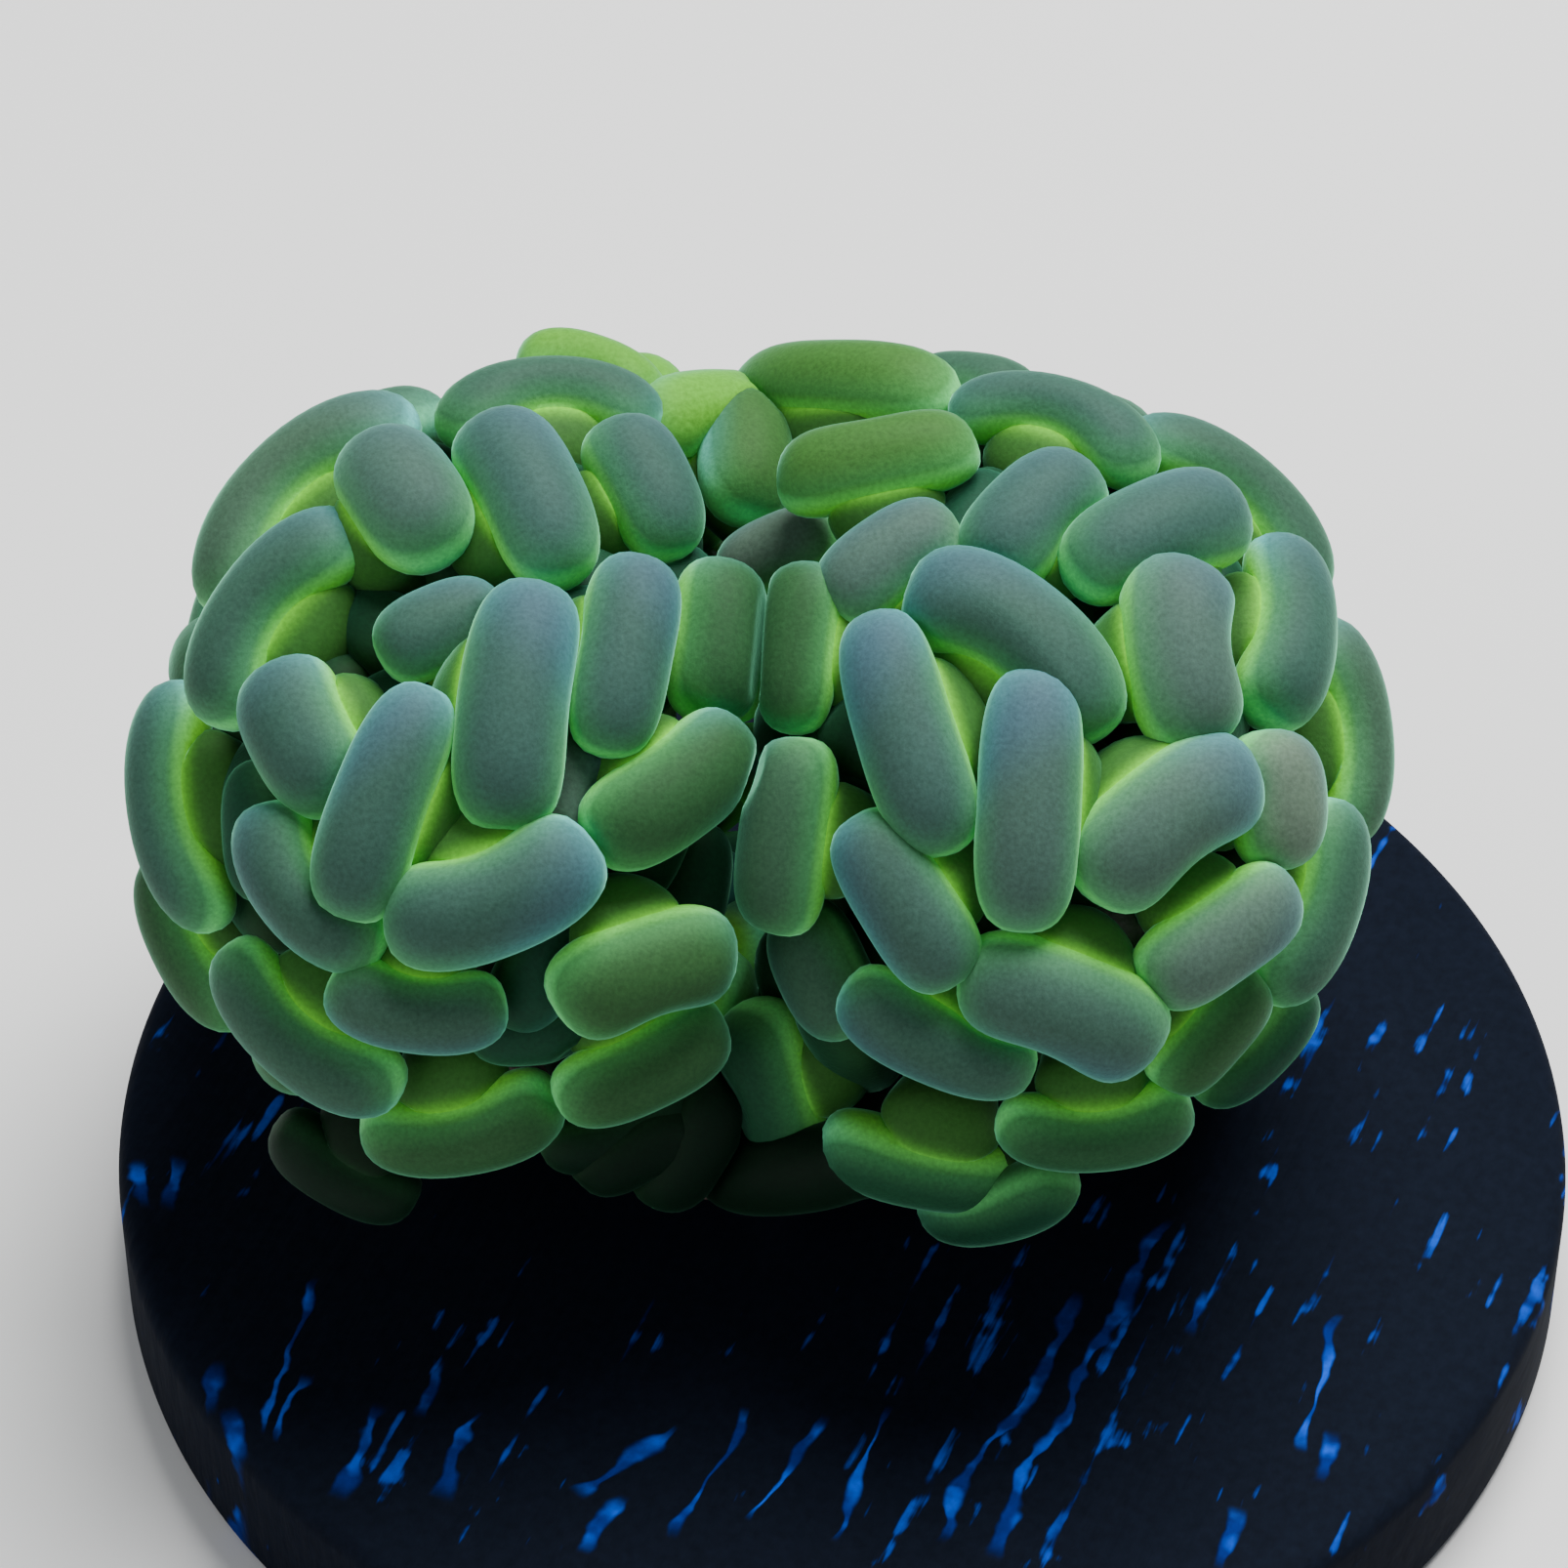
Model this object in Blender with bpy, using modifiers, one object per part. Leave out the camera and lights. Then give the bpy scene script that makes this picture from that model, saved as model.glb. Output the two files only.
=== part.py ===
"""Two-headed branching hammer coral on a round frag disc.

Metres, +Z up. The origin is the middle of the disc's underside, and -Y is the display side.
A short limestone stem stands on the disc and forks into two ribbed branches. Each branch
carries one polyp: a fleshy body whose bean-shaped tentacle heads press against each other.
"""
import math

import bmesh
import bpy
import numpy as np
from mathutils import Matrix, Vector

MM = 0.001
COLLECTION_NAME = "hammer_coral"
GAP = 0.3 * MM                       # clearance that touching pieces keep

# The disc
DISC_RADIUS = 37.5 * MM
DISC_THICKNESS = 8.0 * MM
DISC_CHAMFER = 0.9 * MM
DISC_SIDES = 48

# The skeleton: an oval stem with a spreading foot, and two leaning branches above its fork
FORK_X = -5.0 * MM
FORK_Y = 4.0 * MM
FORK_Z = 13.0 * MM
STEM_HALF_WIDTH = 11.5 * MM
STEM_HALF_DEPTH = 7.6 * MM
FOOT_SPREAD = 1.28                   # the foot's width as a share of the stem's
FOOT_WAVE = 0.05
BRANCH_FOOT_WIDTH = 5.6 * MM         # half width where the branch leaves the fork
BRANCH_FOOT_DEPTH = 6.8 * MM
CALICE_WIDTH = 8.2 * MM              # half width of the oval cup at the branch's top
CALICE_DEPTH = 11.5 * MM
CALICE_Z = 22.0 * MM
CALICE_FLARE = 0.8                   # below 1 the branch swells early, above 1 late
RIB_COUNT = 16
RIB_HEIGHT = 0.45 * MM
BRANCH_RINGS = 4

# Each polyp fills a lobe: centre, half sizes, and a squarer, longer side towards its twin
LOBES = {
    "left": {"centre": (-20.0, 4.0, 29.0), "outer": 16.2, "side": -1},
    "right": {"centre": (10.0, 4.0, 28.5), "outer": 18.0, "side": 1},
}
LOBE_INNER = 19.0 * MM
LOBE_DEPTH = 23.0 * MM
LOBE_HEIGHT = 20.0 * MM
OUTER_POWER = 2.0
INNER_POWER = 4.0
VALLEY_SHARPNESS = 6.0               # lower values fill the valley between the lobes further
DOME_REACH = 40.0 * MM               # more than the dome's reach from either lobe's centre
LINE_STEPS = 160
HEAD_INSET = 2.4 * MM                # head centres lie this far under the lobe's surface
FLESH_INSET = 3.3 * MM               # the fleshy body lies this far under it

# Tentacle heads
HEAD_SIDES = 7
HEAD_RINGS = 5
HEAD_SQUARENESS = 2.6
HEAD_DEPTH_SHARE = 0.92              # a head is a little flatter than it is wide
DOME_RADIUS = 20.0 * MM              # long heads droop over the dome

# The display plan leans back, and its lines meet at a point far out in front
PLAN_LEAN = math.radians(44.0)
PLAN_REACH = 300.0 * MM
PLAN_ORIGIN = Vector((-3.0, 4.0, 28.0)) * MM
PLAN_ACROSS = Vector((1.0, 0.0, 0.0))
PLAN_UP = Vector((0.0, math.sin(PLAN_LEAN), math.cos(PLAN_LEAN)))
PLAN_OUT = Vector((0.0, -math.cos(PLAN_LEAN), math.sin(PLAN_LEAN)))
STEEPEST_FACING = 0.5                # heads near the plan's outline aren't stretched past this
LONGEST_HEAD = 14.0 * MM

# Heads of the display side: across, up, slant, length, width, bend, lift (mm, degrees)
LEFT_HEADS = (
    (-24.8, 14.9, 46, 14.2, 5.2, -60, 0.0),
    (-18.9, 13.8, 125, 6.8, 5.8, 0, 1.0),
    (-12.8, 13.9, 118, 8.7, 5.5, 8, 1.0),
    (-11.8, 19.3, 3, 11.0, 4.6, -70, 0.0),
    (-9.6, 20.4, -20, 7.6, 4.4, -45, -0.1),
    (-26.0, 8.8, 55, 12.0, 5.2, -50, 0.0),
    (-17.2, 8.2, 25, 6.4, 4.5, -5, -1.0),
    (-24.0, 2.4, 117, 7.6, 5.6, -10, 0.0),
    (-13.4, 3.9, 83, 11.8, 5.7, -12, 1.0),
    (-8.2, 6.3, 80, 9.5, 4.9, -5, 1.0),
    (-6.9, 14.9, 117, 7.3, 5.0, 0, 0.0),
    (-3.6, 7.1, 84, 7.6, 4.6, 0, 0.0),
    (-19.9, -0.9, 70, 11.6, 4.9, -8, 1.0),
    (-14.5, -5.5, 21, 10.6, 5.5, 18, 1.0),
    (-24.0, -5.3, -50, 9.0, 5.0, 60, 0.0),
    (-30.6, -1.2, 99, 12.3, 4.8, -35, 0.0),
    (-30.5, -8.2, -62, 9.5, 4.8, 20, -1.0),
    (-18.4, -11.2, -8, 8.5, 4.5, 35, 0.0),
    (-24.3, -12.6, -40, 11.0, 4.8, 38, 0.0),
    (-16.1, -17.3, 11, 9.8, 4.5, 30, 0.0),
    (-7.0, -14.1, 27, 8.9, 4.2, 5, 0.0),
    (-7.1, -9.2, 18, 8.9, 5.3, -45, 0.5),
    (-22.6, -19.3, -32, 7.8, 4.2, 15, -1.2),
    (-5.7, -0.3, 37, 8.9, 5.3, 12, 0.5),
    (-7.8, -17.9, 20, 8.2, 3.9, 20, -0.8),
)
RIGHT_HEADS = (
    (0.7, 6.9, 84, 8.2, 4.3, 0, 0.0),
    (-1.2, 12.2, 22, 6.0, 4.1, 0, -1.5),
    (-2.1, 16.0, 97, 6.5, 4.9, 0, 0.0),
    (4.7, 15.8, 11, 9.8, 4.7, 12, 0.5),
    (3.3, 19.6, 9, 10.8, 4.4, -12, -0.2),
    (-4.0, 19.2, 15, 7.6, 4.4, -25, 0.0),
    (9.3, 20.6, -15, 6.6, 4.4, -20, -1.0),
    (13.7, 18.3, -18, 10.3, 4.5, -60, 0.0),
    (22.9, 14.5, -42, 12.6, 4.6, -50, 0.0),
    (12.4, 13.3, 45, 7.6, 5.2, -20, 0.0),
    (18.5, 12.2, 31, 8.9, 5.2, -25, 0.5),
    (25.2, 7.8, 84, 9.0, 5.1, 25, 0.0),
    (19.7, 6.4, 95, 9.1, 6.3, -55, 0.5),
    (11.7, 7.2, -38, 11.6, 5.6, -60, 0.0),
    (6.2, 2.5, 107, 11.9, 5.0, -5, 1.0),
    (12.2, -0.8, 87, 12.4, 5.1, 0, 1.0),
    (19.0, -1.8, 37, 10.0, 5.6, -45, 0.5),
    (6.1, -5.8, 122, 9.3, 4.8, 0, 0.5),
    (7.6, -12.8, -25, 9.9, 4.5, 15, 0.0),
    (13.9, -10.8, -22, 10.2, 5.5, -30, 0.5),
    (21.6, -7.5, 34, 8.6, 4.7, -8, 0.5),
    (24.6, -0.8, 95, 6.8, 5.2, 0, 0.0),
    (28.4, 2.7, 97, 11.3, 4.4, 35, 0.0),
    (26.6, -6.0, 70, 10.3, 4.8, 30, 0.0),
    (21.9, -12.9, 50, 7.4, 4.2, -10, -1.0),
    (24.4, -13.6, 45, 7.8, 4.2, 25, -1.0),
    (15.6, -17.3, 5, 9.5, 4.2, 35, 0.0),
    (7.2, -19.6, -13, 9.9, 4.0, 3, 0.0),
    (12.1, -21.4, 22, 7.0, 4.2, 25, 0.0),
    (5.2, 11.4, 35, 7.6, 4.7, -10, -0.8),
    (28.6, -2.8, 90, 6.5, 4.2, 0, -1.5),
    (0.3, -2.6, 83, 9.4, 4.9, 10, 0.5),
    (-0.4, -14.8, 111, 7.9, 4.6, 0, 0.0),
)

# Heads of the back and underside are spread by rule over the rest of each lobe
SPREAD_POINTS = 1200
SPREAD_FACING = 0.12                 # only where the lobe turns this far from the display side
SPREAD_LOWEST = -0.62                # lowest slope that still carries tentacles
SPREAD_FLOOR = 13.5 * MM             # no head's centre lies lower
SPREAD_CLEARANCE = 4.5 * MM
SPREAD_SLANTS = 6
SPREAD_LENGTH = (9.0, 12.0)          # mm
SPREAD_WIDTH = (4.6, 5.4)            # mm
SPREAD_BEND = 40.0                   # degrees, either way
SPREAD_SEED = 7
EDGE_SINK = 1.8 * MM                 # how much deeper they sit near the display side's edge

FLESH_FLOOR = 14.2 * MM              # the body's flat underside, clear of the stem
KEPT_SHARE = 0.76                    # slivers along the joins are merged until this share is left
BODY_SIDES = 20
BODY_RINGS = 12

# Materials: base colour, roughness, metallic
FINISHES = {
    "disc": ((0.012, 0.016, 0.030), 0.75, 0.0),
    "skeleton": ((0.62, 0.56, 0.47), 0.85, 0.0),
    "polyp": ((0.20, 0.42, 0.26), 0.40, 0.0),
}


def clear_scene():
    """Remove every object, so that the script always starts from nothing."""
    for leftover in list(bpy.data.objects):
        bpy.data.objects.remove(leftover, do_unlink=True)


def make_collection(name):
    collection = bpy.data.collections.new(name)
    bpy.context.scene.collection.children.link(collection)
    return collection


def make_material(name):
    colour, roughness, metallic = FINISHES[name]
    material = bpy.data.materials.new(name)
    material.use_nodes = True
    shader = material.node_tree.nodes["Principled BSDF"]
    shader.inputs["Base Color"].default_value = (*colour, 1.0)
    shader.inputs["Roughness"].default_value = roughness
    shader.inputs["Metallic"].default_value = metallic
    return material


def add_object(name, bm, collection, material=None):
    """Turn a finished bmesh into a named object in a collection."""
    mesh = bpy.data.meshes.new(name)
    bm.to_mesh(mesh)
    bm.free()
    piece = bpy.data.objects.new(name, mesh)
    collection.objects.link(piece)
    if material:
        mesh.materials.append(material)
    return piece


# ---- the dome and the places of the tentacle heads ----

def lobe_level(lobe, point, inset):
    """Below 1 inside the lobe's surface drawn in by inset, above 1 outside it."""
    offset = point - Vector(lobe["centre"]) * MM
    if offset.x * lobe["side"] < 0.0:
        half_width, power = LOBE_INNER, INNER_POWER
    else:
        half_width, power = lobe["outer"] * MM, OUTER_POWER
    across = abs(offset.x / (half_width - inset)) ** power
    deep = (offset.y / (LOBE_DEPTH - inset)) ** 2
    return across + deep + (offset.z / (LOBE_HEIGHT - inset)) ** 2


def dome_level(point, inset):
    """The same for both lobes together, with the valley between them filled smoothly."""
    levels = [lobe_level(lobe, point, inset) for lobe in LOBES.values()]
    lowest = min(levels)
    total = sum(math.exp(VALLEY_SHARPNESS * (lowest - level)) for level in levels)
    return lowest - math.log(total) / VALLEY_SHARPNESS


def dome_normal(point, inset):
    step = 0.2 * MM
    slope = Vector()
    for axis in range(3):
        shift = Vector()
        shift[axis] = step
        slope[axis] = dome_level(point + shift, inset) - dome_level(point - shift, inset)
    return slope.normalized()


def first_inside(level, start, direction, reach):
    """Where a line first comes to a level below 1, or where it passes closest."""
    levels = [level(start + direction * (reach * step / LINE_STEPS)) for step in range(LINE_STEPS)]
    inside = [step for step, value in enumerate(levels) if value < 1.0]
    if not inside:
        return start + direction * (reach * levels.index(min(levels)) / LINE_STEPS)
    near = (inside[0] - 1.0) / LINE_STEPS
    far = inside[0] / LINE_STEPS
    for _ in range(16):
        middle = 0.5 * (near + far)
        if level(start + direction * (reach * middle)) < 1.0:
            far = middle
        else:
            near = middle
    return start + direction * (reach * far)


def head_level(point):
    return dome_level(point, HEAD_INSET)


def plan_point(across, up):
    """Carry a place on the display plan along its line to the layer of head centres."""
    eye = PLAN_ORIGIN + PLAN_OUT * PLAN_REACH
    target = PLAN_ORIGIN + PLAN_ACROSS * (across * MM) + PLAN_UP * (up * MM)
    direction = (target - eye).normalized()
    start = eye + direction * (PLAN_REACH - DOME_REACH)
    return first_inside(head_level, start, direction, 2.0 * DOME_REACH)


def planned_heads(rows):
    """Heads as frames and sizes: centre, along, outward, length, width and bend."""
    heads = []
    for across, up, slant, length, width, bend, lift in rows:
        point = plan_point(across, up)
        outward = dome_normal(point, HEAD_INSET)
        turn = math.radians(slant)
        flat = PLAN_ACROSS * math.cos(turn) + PLAN_UP * math.sin(turn)
        facing = max(outward.dot(PLAN_OUT), STEEPEST_FACING)
        tangent = flat - PLAN_OUT * (outward.dot(flat) / facing)
        full_length = min(length * MM * tangent.length, LONGEST_HEAD)
        tangent = (tangent - outward * tangent.dot(outward)).normalized()
        heads.append({"centre": point + outward * (lift * MM), "along": tangent,
                      "outward": outward, "length": full_length, "width": width * MM,
                      "bend": math.radians(bend)})
    return heads


def core_points(head):
    """Points along the line through the middle of a head."""
    reach = head["along"] * (0.5 * (head["length"] - head["width"]))
    return np.array([head["centre"] + reach * share for share in np.linspace(-1.0, 1.0, 7)])


def crowding(head, others):
    """Shortest distance from a head's middle line to those of the others."""
    points = core_points(head)
    return min(np.linalg.norm(points[:, None] - other[None], axis=2).min() for other in others)


def spread_heads(name, taken, rng):
    """Fill the back and underside of a lobe with heads that keep clear of those taken."""
    lobe = LOBES[name]
    centre = Vector(lobe["centre"]) * MM
    heads = []
    for index in range(SPREAD_POINTS):
        height = 1.0 - 2.0 * (index + 0.5) / SPREAD_POINTS
        ring = math.sqrt(1.0 - height * height)
        turn = math.pi * (3.0 - math.sqrt(5.0)) * index
        direction = Vector((ring * math.cos(turn), ring * math.sin(turn), height))
        first_slant = rng.uniform(0.0, math.pi)
        length = rng.uniform(*SPREAD_LENGTH) * MM
        width = rng.uniform(*SPREAD_WIDTH) * MM
        bend = math.radians(rng.uniform(-SPREAD_BEND, SPREAD_BEND))
        point = first_inside(head_level, centre + direction * DOME_REACH, -direction, DOME_REACH)
        outward = dome_normal(point, HEAD_INSET)
        seen = outward.dot(PLAN_OUT)
        if seen > SPREAD_FACING or outward.z < SPREAD_LOWEST:
            continue
        if point.z < SPREAD_FLOOR or (point.x - FORK_X) * lobe["side"] < 0.0:
            continue
        sunk = EDGE_SINK * min(max(1.0 + 2.0 * seen, 0.0), 1.0)
        side = outward.orthogonal().normalized()
        tries = []
        for step in range(SPREAD_SLANTS):
            turned = Matrix.Rotation(first_slant + math.pi * step / SPREAD_SLANTS, 3, outward)
            head = {"centre": point - outward * sunk, "along": turned @ side,
                    "outward": outward, "length": length, "width": width, "bend": bend}
            tries.append((crowding(head, taken), step, head))
        clearance, _, head = max(tries, key=lambda entry: entry[0])
        if clearance > SPREAD_CLEARANCE:
            heads.append(head)
            taken.append(core_points(head))
    return heads


# ---- solids ----

def add_head(bm, head, grow):
    """Bend and square off a sphere into one bean-shaped head."""
    made = bmesh.ops.create_uvsphere(bm, u_segments=HEAD_SIDES, v_segments=HEAD_RINGS, radius=1.0)
    aside = head["outward"].cross(head["along"])
    half_length = 0.5 * head["length"] + grow
    half_width = 0.5 * head["width"] + grow
    half_depth = 0.5 * head["width"] * HEAD_DEPTH_SHARE + grow
    turning = head["bend"] / (2.0 * half_length)
    for vert in made["verts"]:
        share = max(-1.0, min(1.0, vert.co.z))
        section = (1.0 - abs(share) ** HEAD_SQUARENESS) ** (1.0 / HEAD_SQUARENESS)
        section /= max(math.hypot(vert.co.x, vert.co.y), 1e-3)
        travel = share * half_length
        heading = turning * travel
        sideways = vert.co.x * section * half_width
        droop = travel * travel / (2.0 * DOME_RADIUS)
        along = travel * math.cos(0.5 * heading) - sideways * math.sin(heading)
        across = travel * math.sin(0.5 * heading) + sideways * math.cos(heading)
        out = vert.co.y * section * half_depth - droop
        vert.co = (head["centre"] + head["along"] * along
                   + aside * across + head["outward"] * out)


def make_heads(name, heads, grow, collection):
    """All of a polyp's heads as loose closed shapes in one mesh."""
    bm = bmesh.new()
    for head in heads:
        add_head(bm, head, grow)
    bmesh.ops.recalc_face_normals(bm, faces=bm.faces)
    return add_object(name, bm, collection)


def make_flesh_body(name, lobe, grow, collection):
    """The polyp's body: the dome drawn in, ending flat just short of the twin polyp."""
    centre = Vector(lobe["centre"]) * MM
    limit = FORK_X + lobe["side"] * (0.5 * GAP - grow)
    inset = FLESH_INSET - grow

    def level_outside(point):
        if (point.x - limit) * lobe["side"] < 0.0 or point.z < FLESH_FLOOR - grow:
            return 0.0
        if dome_level(point, inset) > 1.0:
            return 0.0
        return 2.0

    bm = bmesh.new()
    bmesh.ops.create_uvsphere(bm, u_segments=BODY_SIDES, v_segments=BODY_RINGS, radius=1.0)
    for vert in bm.verts:
        direction = vert.co.normalized()
        vert.co = first_inside(level_outside, centre, direction, DOME_REACH)
    bmesh.ops.recalc_face_normals(bm, faces=bm.faces)
    return add_object(name, bm, collection)


def add_boolean(piece, operation, tool):
    change = piece.modifiers.new(tool.name, "BOOLEAN")
    change.operation = operation
    change.solver = "EXACT"
    change.use_self = operation == "UNION"
    change.object = tool
    tool.hide_render = True
    tool.display_type = "WIRE"


def keep_largest_body(bm):
    """Delete all but the largest connected body, such as the walls of sealed pockets."""
    waiting = set(bm.faces)
    bodies = []
    while waiting:
        stack = [waiting.pop()]
        body = []
        while stack:
            face = stack.pop()
            body.append(face)
            around = {near for edge in face.edges for near in edge.link_faces} & waiting
            waiting -= around
            stack.extend(around)
        bodies.append(body)
    bodies.sort(key=len)
    for body in bodies[:-1]:
        bmesh.ops.delete(bm, geom=body, context="FACES")


def bake_solid(name, blank, collection, material=None):
    """Apply the blank's modifiers and keep the result as one solid without sealed pockets."""
    graph = bpy.context.evaluated_depsgraph_get()
    joined = bpy.data.meshes.new_from_object(blank.evaluated_get(graph))
    bm = bmesh.new()
    bm.from_mesh(joined)
    bpy.data.meshes.remove(joined)
    keep_largest_body(bm)
    bmesh.ops.triangulate(bm, faces=bm.faces)
    bpy.data.objects.remove(blank, do_unlink=True)
    return add_object(name, bm, collection, material)


def make_flesh(name, lobe, heads, grow, cutters):
    """The body joined with its heads, each larger by grow."""
    blank = make_flesh_body(name + "_body", lobe, grow, cutters)
    add_boolean(blank, "UNION", make_heads(name + "_heads", heads, grow, cutters))
    return bake_solid(name, blank, cutters)


def make_branch(name, side, grow, collection, material=None):
    """A leaning, flaring oval branch, ribbed unless it is grown into a clearance shape."""
    lobe = LOBES["right" if side > 0 else "left"]
    bm = bmesh.new()
    bmesh.ops.create_cone(bm, segments=2 * RIB_COUNT, cap_ends=True,
                          radius1=1.0, radius2=1.0, depth=1.0)
    uprights = [edge for edge in bm.edges if abs(edge.verts[0].co.z - edge.verts[1].co.z) > 0.5]
    bmesh.ops.subdivide_edges(bm, edges=uprights, cuts=BRANCH_RINGS - 1, use_grid_fill=True)
    foot = Vector((FORK_X + side * (BRANCH_FOOT_WIDTH + GAP), FORK_Y, FORK_Z + GAP))
    top = Vector((lobe["centre"][0] * MM, lobe["centre"][1] * MM, CALICE_Z))
    for vert in bm.verts:
        share = vert.co.z + 0.5
        turn = math.atan2(vert.co.y, vert.co.x)
        ridge = math.cos(turn * RIB_COUNT) if grow == 0.0 else 1.0
        swell = share ** CALICE_FLARE
        half_width = BRANCH_FOOT_WIDTH + (CALICE_WIDTH - BRANCH_FOOT_WIDTH) * swell
        half_depth = BRANCH_FOOT_DEPTH + (CALICE_DEPTH - BRANCH_FOOT_DEPTH) * swell
        rib = RIB_HEIGHT * ridge * share + grow
        axis = foot.lerp(top, share)
        rise = {0.0: -grow, 1.0: grow}.get(round(share, 3), 0.0)
        vert.co = Vector((axis.x + math.cos(turn) * (half_width + rib),
                          axis.y + math.sin(turn) * (half_depth + rib),
                          axis.z + rise))
    bmesh.ops.recalc_face_normals(bm, faces=bm.faces)
    return add_object(name, bm, collection, material)


def make_stem(collection, material):
    """An oval stump with a spreading foot, on the disc and under the fork."""
    bm = bmesh.new()
    bmesh.ops.create_cone(bm, segments=2 * RIB_COUNT, cap_ends=True,
                          radius1=1.0, radius2=1.0, depth=1.0)
    uprights = [edge for edge in bm.edges if abs(edge.verts[0].co.z - edge.verts[1].co.z) > 0.5]
    bmesh.ops.subdivide_edges(bm, edges=uprights, cuts=BRANCH_RINGS - 1, use_grid_fill=True)
    foot_z = DISC_THICKNESS + GAP
    for vert in bm.verts:
        share = vert.co.z + 0.5
        spread = 1.0 + (FOOT_SPREAD - 1.0) * (1.0 - share) ** 2
        wave = 1.0 + FOOT_WAVE * (1.0 - share) * math.sin(3.0 * math.atan2(vert.co.y, vert.co.x))
        vert.co = Vector((FORK_X + vert.co.x * STEM_HALF_WIDTH * spread * wave,
                          FORK_Y + vert.co.y * STEM_HALF_DEPTH * spread * wave,
                          foot_z + (FORK_Z - foot_z) * share))
    bmesh.ops.recalc_face_normals(bm, faces=bm.faces)
    return add_object("skeleton_stem", bm, collection, material)


def make_disc(collection, material):
    """A thick round disc with a small chamfer on both edges."""
    bm = bmesh.new()
    bmesh.ops.create_cone(bm, segments=DISC_SIDES, cap_ends=True, radius1=DISC_RADIUS,
                          radius2=DISC_RADIUS, depth=DISC_THICKNESS,
                          matrix=Matrix.Translation((0.0, 0.0, 0.5 * DISC_THICKNESS)))
    disc = add_object("frag_disc", bm, collection, material)
    chamfer = disc.modifiers.new("edges", "BEVEL")
    chamfer.width = DISC_CHAMFER
    chamfer.segments = 2
    chamfer.limit_method = "ANGLE"
    disc.data.shade_smooth()
    disc.data.set_sharp_from_angle(angle=math.radians(30.0))
    return disc


def make_polyps(collection, cutters, material):
    """Both polyps: the left one whole, the right one pressed in around it."""
    rng = np.random.default_rng(SPREAD_SEED)
    heads = {"left": planned_heads(LEFT_HEADS), "right": planned_heads(RIGHT_HEADS)}
    taken = [core_points(head) for head in heads["left"] + heads["right"]]
    for name in LOBES:
        heads[name] += spread_heads(name, taken, rng)
    left_room = make_flesh("left_room", LOBES["left"], heads["left"], GAP, cutters)
    for name, lobe in LOBES.items():
        flesh = make_flesh(f"{name}_flesh", lobe, heads[name], 0.0, cutters)
        branch_room = make_branch(f"{name}_branch_room", lobe["side"], GAP + RIB_HEIGHT, cutters)
        add_boolean(flesh, "DIFFERENCE", branch_room)
        if name == "right":
            add_boolean(flesh, "DIFFERENCE", left_room)
        polyp = bake_solid(f"polyp_{name}", flesh, collection, material)
        thinning = polyp.modifiers.new("slivers", "DECIMATE")
        thinning.ratio = KEPT_SHARE
        thinning.use_collapse_triangulate = True


def main():
    clear_scene()
    coral = make_collection(COLLECTION_NAME)
    cutters = make_collection("cutters")
    materials = {name: make_material(name) for name in FINISHES}
    make_disc(coral, materials["disc"])
    make_stem(coral, materials["skeleton"])
    make_branch("skeleton_branch_left", -1, 0.0, coral, materials["skeleton"])
    make_branch("skeleton_branch_right", 1, 0.0, coral, materials["skeleton"])
    make_polyps(coral, cutters, materials["polyp"])


main()
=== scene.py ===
"""Two-headed branching hammer coral on a round frag disc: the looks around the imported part."""
import math

import bpy
import numpy as np
from mathutils import Matrix, Vector


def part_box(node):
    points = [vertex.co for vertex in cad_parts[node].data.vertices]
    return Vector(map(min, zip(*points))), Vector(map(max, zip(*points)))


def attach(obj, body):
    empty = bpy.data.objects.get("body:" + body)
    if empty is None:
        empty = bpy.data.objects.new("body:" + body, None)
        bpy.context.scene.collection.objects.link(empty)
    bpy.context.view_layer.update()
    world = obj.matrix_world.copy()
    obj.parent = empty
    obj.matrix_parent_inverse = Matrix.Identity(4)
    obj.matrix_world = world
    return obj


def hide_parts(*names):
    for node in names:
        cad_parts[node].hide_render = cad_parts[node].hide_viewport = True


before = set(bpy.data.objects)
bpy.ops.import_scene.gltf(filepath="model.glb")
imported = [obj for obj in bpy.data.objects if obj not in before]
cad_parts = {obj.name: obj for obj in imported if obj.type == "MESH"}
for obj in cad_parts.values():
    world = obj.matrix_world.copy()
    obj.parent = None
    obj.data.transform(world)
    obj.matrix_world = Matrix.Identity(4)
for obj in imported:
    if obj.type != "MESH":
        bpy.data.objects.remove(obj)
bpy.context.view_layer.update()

MM = 0.001
DISC_LOW, DISC_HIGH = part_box("frag_disc")
DISC_TOP = DISC_HIGH.z
DISC_RADIUS = 0.5 * (DISC_HIGH.x - DISC_LOW.x)
BRANCH_LOW, BRANCH_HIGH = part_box("skeleton_branch_left")

# ---- the dome that the tentacle heads fill, as in the part's source ----

FORK_X = -5.0 * MM
FORK_Y = 4.0 * MM
GAP = 0.3 * MM                       # between pieces that meet
LOBES = {                            # centre and outer half width in mm, and side of the fork
    "left": {"centre": (-20.0, 4.0, 29.0), "outer": 16.2, "side": -1},
    "right": {"centre": (10.0, 4.0, 28.5), "outer": 18.0, "side": 1},
}
LOBE_INNER = 19.0 * MM
LOBE_DEPTH = 23.0 * MM
LOBE_HEIGHT = 20.0 * MM
OUTER_POWER = 2.0
INNER_POWER = 4.0
VALLEY_SHARPNESS = 6.0
DOME_REACH = 40.0 * MM
LINE_STEPS = 160
HEAD_INSET = 2.4 * MM
BODY_INSET = 7.2 * MM                # the fleshy body that the stalks grow from
DOME_RADIUS = 20.0 * MM

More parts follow.
